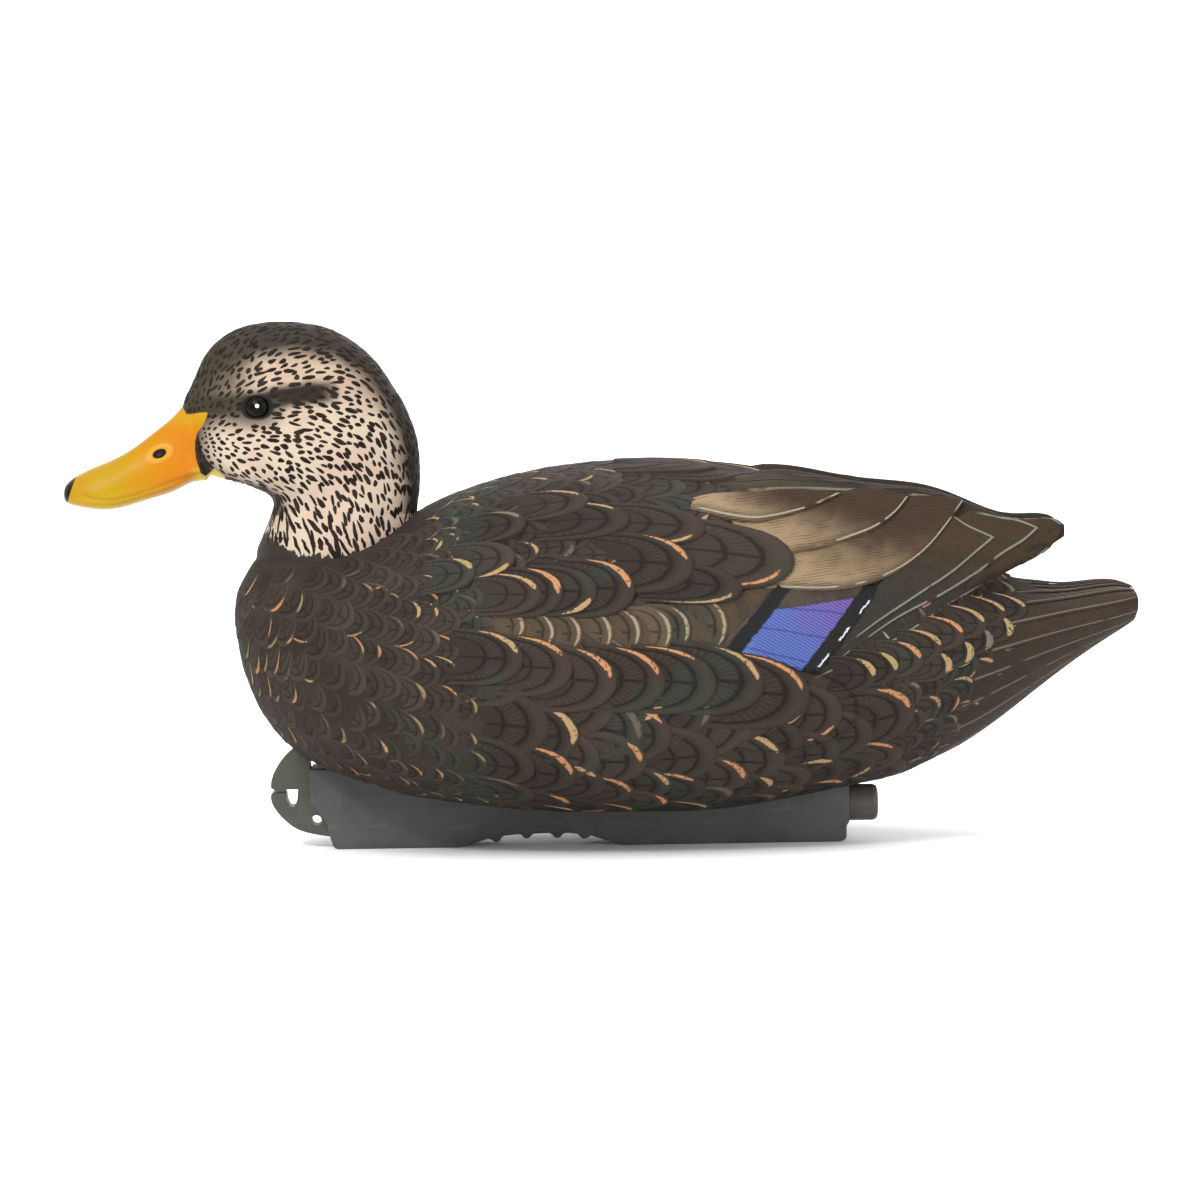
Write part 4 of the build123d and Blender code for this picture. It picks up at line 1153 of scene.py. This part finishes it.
def stream(x, z):
    away, toward = np.array([x, z]) - bill_root, neck_foot - np.array([x, z])
    near, far = np.linalg.norm(away), np.linalg.norm(toward)
    way = away / near + toward / far * min(1.6, (near / far) ** 2)
    return way / np.linalg.norm(way)


areas = np.array([p.area for p in head.data.polygons])
centres = np.array([p.center for p in head.data.polygons]) * 1000
facing = np.array([p.normal for p in head.data.polygons])
polygon_bill = inside_of(centres[:, 0], centres[:, 2], bill_outline)
above_hem = centres[:, 2] - np.interp(centres[:, 0], fringe_x, fringe_z)
middle = np.zeros_like(centres)
middle[:, 0] = -125.0
middle[:, 2] = np.clip(centres[:, 2], 120, 195)
outward = np.einsum("ij,ij->i", facing, centres - middle) > 0
wanted = outward & (polygon_bill < -1.2) & (above_hem > 0.5)
weights = np.where(wanted, areas, 0)
tries = 22000
picks = np.random.default_rng(23).choice(len(areas), size=tries, p=weights / weights.sum())
fleck_chance = np.random.default_rng(31)
eye_clear = (7.4, 6.6)
cell_size = 4.5
taken = {}
dash_points, dash_faces = [], []


def dash_size(spot):
    """Length and width of a fleck in mm: tiny by the bill, long on the neck."""
    from_bill = np.hypot(spot[0] - bill_root[0], spot[2] - bill_root[1])
    face = np.interp(from_bill, [0, 14, 34, 60], [1.9, 2.7, 4.3, 5.0])
    down = float(soft_step(-(spot[2] + 0.35 * spot[0]), -118, -95))
    return face + 5.5 * down, np.interp(from_bill, [0, 20, 50], [1.5, 1.9, 2.25]) + 0.2 * down, down


def crowded(spot, flow, side, long, down):
    """Whether a fleck here would touch one that is already laid."""
    for step in np.ndindex(3, 3, 3):
        for other, other_long in taken.get(tuple(spot // cell_size + step - 1), ()):
            gap = other - spot
            room = (long + other_long) * 0.5 + 0.35
            if (gap.dot(flow) / room) ** 2 + (gap.dot(side) / (1.75 + 0.6 * down)) ** 2 < 1:
                return True
    return False


def lay_dash(spot, flow, side, long, wide, down):
    """One fleck: a thin raised strip, bent and pointed a little differently each time."""
    first = len(dash_points)
    stations = 7 if down < 0.4 else 11
    bend = fleck_chance.normal(0, 0.25)
    wave = fleck_chance.uniform(0, 6.28)
    thick = wide * fleck_chance.uniform(0.46, 0.82)
    lean = fleck_chance.uniform(-0.7, 0.7)
    turn = fleck_chance.normal(0, 0.16)
    flow = flow * cos(turn) + side * sin(turn)
    for s in np.linspace(-1, 1, stations):
        sway = bend * (s * s - 0.5) * 0.6 + down * 0.2 * sin(3.2 * s * (1 + down) + wave)
        centre = spot + flow * s * long / 2 + side * sway
        half = thick * max(0.04, (1 - s * s) * (1 + lean * s)) ** 0.75 * fleck_chance.uniform(0.85, 1.12)
        for lane, lift in ((-1, -0.16), (-0.45, 0.10), (0.45, 0.10), (1, -0.16)):
            hit, found, _, _ = head_tree.find_nearest(Vector(centre + side * lane * half))
            lift = lift if abs(s) < 0.99 else -0.1
            dash_points.append((np.array(hit) + np.array(found) * lift) * mm)
    for k in range(stations - 1):
        for lane in range(3):
            a = first + k * 4 + lane
            dash_faces.append((a, a + 1, a + 5, a + 4))


for pick in picks:
    spot, out = centres[pick], facing[pick]
    if abs(spot[0] - eye_place[0]) < eye_clear[0] and abs(spot[2] - eye_place[1]) < eye_clear[1]:
        continue
    way = stream(spot[0], spot[2])
    flow = np.array([way[0], 0, way[1]])
    flow = flow - out * flow.dot(out)
    flow /= np.linalg.norm(flow) + 1e-9
    side = np.cross(out, flow)
    long, wide, down = dash_size(spot)
    long *= fleck_chance.uniform(0.6, 1.6)
    if not crowded(spot, flow, side, long, down):
        taken.setdefault(tuple(spot // cell_size), []).append((spot, long))
        lay_dash(spot, flow, side, long, wide, down)

flecks_mesh = bpy.data.meshes.new("face_flecks")
flecks_mesh.from_pydata(dash_points, [], dash_faces)
flecks_mesh.polygons.foreach_set("use_smooth", [True] * len(dash_faces))
flecks = bpy.data.objects.new("face_flecks", flecks_mesh)
bpy.context.scene.collection.objects.link(flecks)


def fleck_paint():
    paint = Paint("fleck_paint", roughness=0.65, specular=0.05)
    place = paint.place()
    cloud = paint.noise(place, 160.0, 2.0)
    color = paint.mix(paint.ramp(cloud, 0.35, 0.65), ink(34, 27, 23), ink(52, 42, 35))
    return paint.finish(color, normal=paint.bump(paint.noise(place, 900.0, 2.0), 0.0001, 0.4))


flecks_mesh.materials.append(fleck_paint())
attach(flecks, "head")


# ---- Eyes --------------------------------------------------------------------------------------
# Each eye is a domed acrylic button pressed into the head: a dark brown iris round a black pupil,
# under a clear gloss, with a painted highlight: a small white glint just above the middle.
def glossy_eye_with_painted_glint(name):
    low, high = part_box(name)
    centre = (low + high) / 2
    paint = Paint(name + "_gloss", roughness=0.05, specular=0.07)
    x, _, z = paint.split(paint.place())
    dx = paint.less(x, centre.x)
    dz = paint.less(z, centre.z)
    away = paint.math("SQRT", paint.times_plus(dx, dx, paint.times(dz, dz)))
    iris = paint.mix(paint.noise(paint.place(), 600.0, 2.0), ink(24, 20, 16), ink(34, 28, 22))
    color = paint.mix(paint.ramp(away, 0.0027, 0.0031), ink(8, 8, 9), iris)
    color = paint.mix(paint.ramp(away, 0.0042, 0.0046), color, ink(12, 11, 11))
    # a painted highlight: a small white glint just above the middle, painted in place of the lamps'
    # reflection so it shows in any light
    up = paint.less(dz, 0.0008)
    painted_glint_spot = paint.math("SQRT", paint.times_plus(dx, dx, paint.times(up, up)))
    color = paint.mix(paint.ramp(painted_glint_spot, 0.001, 0.0007), color, (0.9, 0.9, 0.9, 1.0))
    return paint.finish(color)


for name in ("eye_left", "eye_right"):
    nodes[name].data.materials.clear()
    nodes[name].data.materials.append(glossy_eye_with_painted_glint(name))


# ---- Keel --------------------------------------------------------------------------------------
# The keel is a separate hollow moulding in dark grey polyethylene, screwed up into the hull's channel.
# Its arrises are softened by the mould, and shallow plain ribs stand on its flat sides.
def moulded_plastic(name, base, other, roughness=0.5):
    paint = Paint(name, roughness=roughness, specular=0.22)
    place = paint.place()
    cloud = paint.noise(place, 30.0, 4.0)
    grain = paint.noise(place, 1500.0, 2.0)
    scuff = paint.ramp(paint.noise(paint.scaled(place, (1.0, 1.0, 5.0)), 70.0, 4.0), 0.58, 0.72)
    color = paint.mix(paint.ramp(cloud, 0.35, 0.65), base, other)
    color = paint.mix(paint.times(scuff, 0.16), color, ink(150, 148, 142))
    rough = paint.times_plus(cloud, 0.2, roughness - 0.1)
    return paint.finish(color, roughness=rough, normal=paint.bump(grain, 0.0001, 0.5))


keel = remade("keel_shell", "moulded_keel", 0.8 * mm, 3)
spots_keel, outs_keel = read_points(keel.data)
kx, ky, kz = spots_keel.T
on_face = (np.abs(outs_keel[:, 1]) > 0.85) & (outs_keel[:, 1] * np.sign(ky) > 0)
rib_low, rib_pitch = 24.0, 5.6
line_up = np.exp(-(((kz - rib_low) / 0.45) ** 2)) + np.exp(-(((kz - rib_low + rib_pitch) / 0.45) ** 2))
line_up = line_up * soft_step(kx, -119, -117) * (1 - soft_step(kx, 94, 96))
ends = (np.abs(kx - -117.6) < 0.5) | (np.abs(kx - 94.6) < 0.5)
panel = line_up + 0.8 * ends * (kz < rib_low + 0.4) * (kz > rib_low - rib_pitch - 0.4)
spots_keel = spots_keel + outs_keel * (0.3 * np.minimum(panel, 1) * on_face)[:, None]
write_points(keel.data, spots_keel)
keel.data.materials.append(moulded_plastic("keel_plastic", ink(84, 84, 85), ink(98, 98, 98), 0.52))
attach(keel, "body")
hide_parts("keel_shell")


# ---- Anchor tab, plug and the parts inside -------------------------------------------------------
# The line tab and the plug are moulded in other greys. Inside are the cast ballast, the rubber seals,
# the steel screws, and the washer and snap ring that the head turns on.
def dress(name, material):
    nodes[name].data.materials.clear()
    nodes[name].data.materials.append(material)


def screw_steel():
    paint = Paint("screw_steel", roughness=0.32, specular=0.5)
    paint.shader.inputs["Metallic"].default_value = 1.0
    place = paint.place()
    streaks = paint.noise(paint.scaled(place, (1.0, 1.0, 6.0)), 400.0, 3.0)
    color = paint.mix(streaks, ink(168, 168, 164), ink(196, 196, 192))
    return paint.finish(color, roughness=paint.times_plus(streaks, 0.2, 0.22))


def cast_ballast():
    paint = Paint("cast_ballast", roughness=0.85, specular=0.2)
    place = paint.place()
    grit = paint.noise(place, 700.0, 5.0, 0.7)
    color = paint.mix(paint.ramp(grit, 0.35, 0.65), ink(128, 124, 116), ink(160, 156, 146))
    return paint.finish(color, normal=paint.bump(grit, 0.0006, 0.8))


dress("anchor_tab", moulded_plastic("tab_plastic", ink(86, 88, 77), ink(98, 100, 89), 0.5))
dress("ballast_plug", moulded_plastic("plug_plastic", ink(94, 90, 81), ink(106, 101, 92), 0.45))
ring_plastic = moulded_plastic("ring_plastic", ink(196, 190, 176), ink(210, 205, 192), 0.4)
seal_rubber = moulded_plastic("seal_rubber", ink(28, 28, 28), ink(38, 37, 36), 0.7)
ballast_stone, steel = cast_ballast(), screw_steel()
for name, finish in (
    ("neck_washer", ring_plastic), ("neck_lock_ring", ring_plastic), ("front_ballast", ballast_stone),
    ("rear_ballast", ballast_stone), ("keel_screws", steel), ("screw_seals", seal_rubber),
    ("plug_seal", seal_rubber),
):
    dress(name, finish)
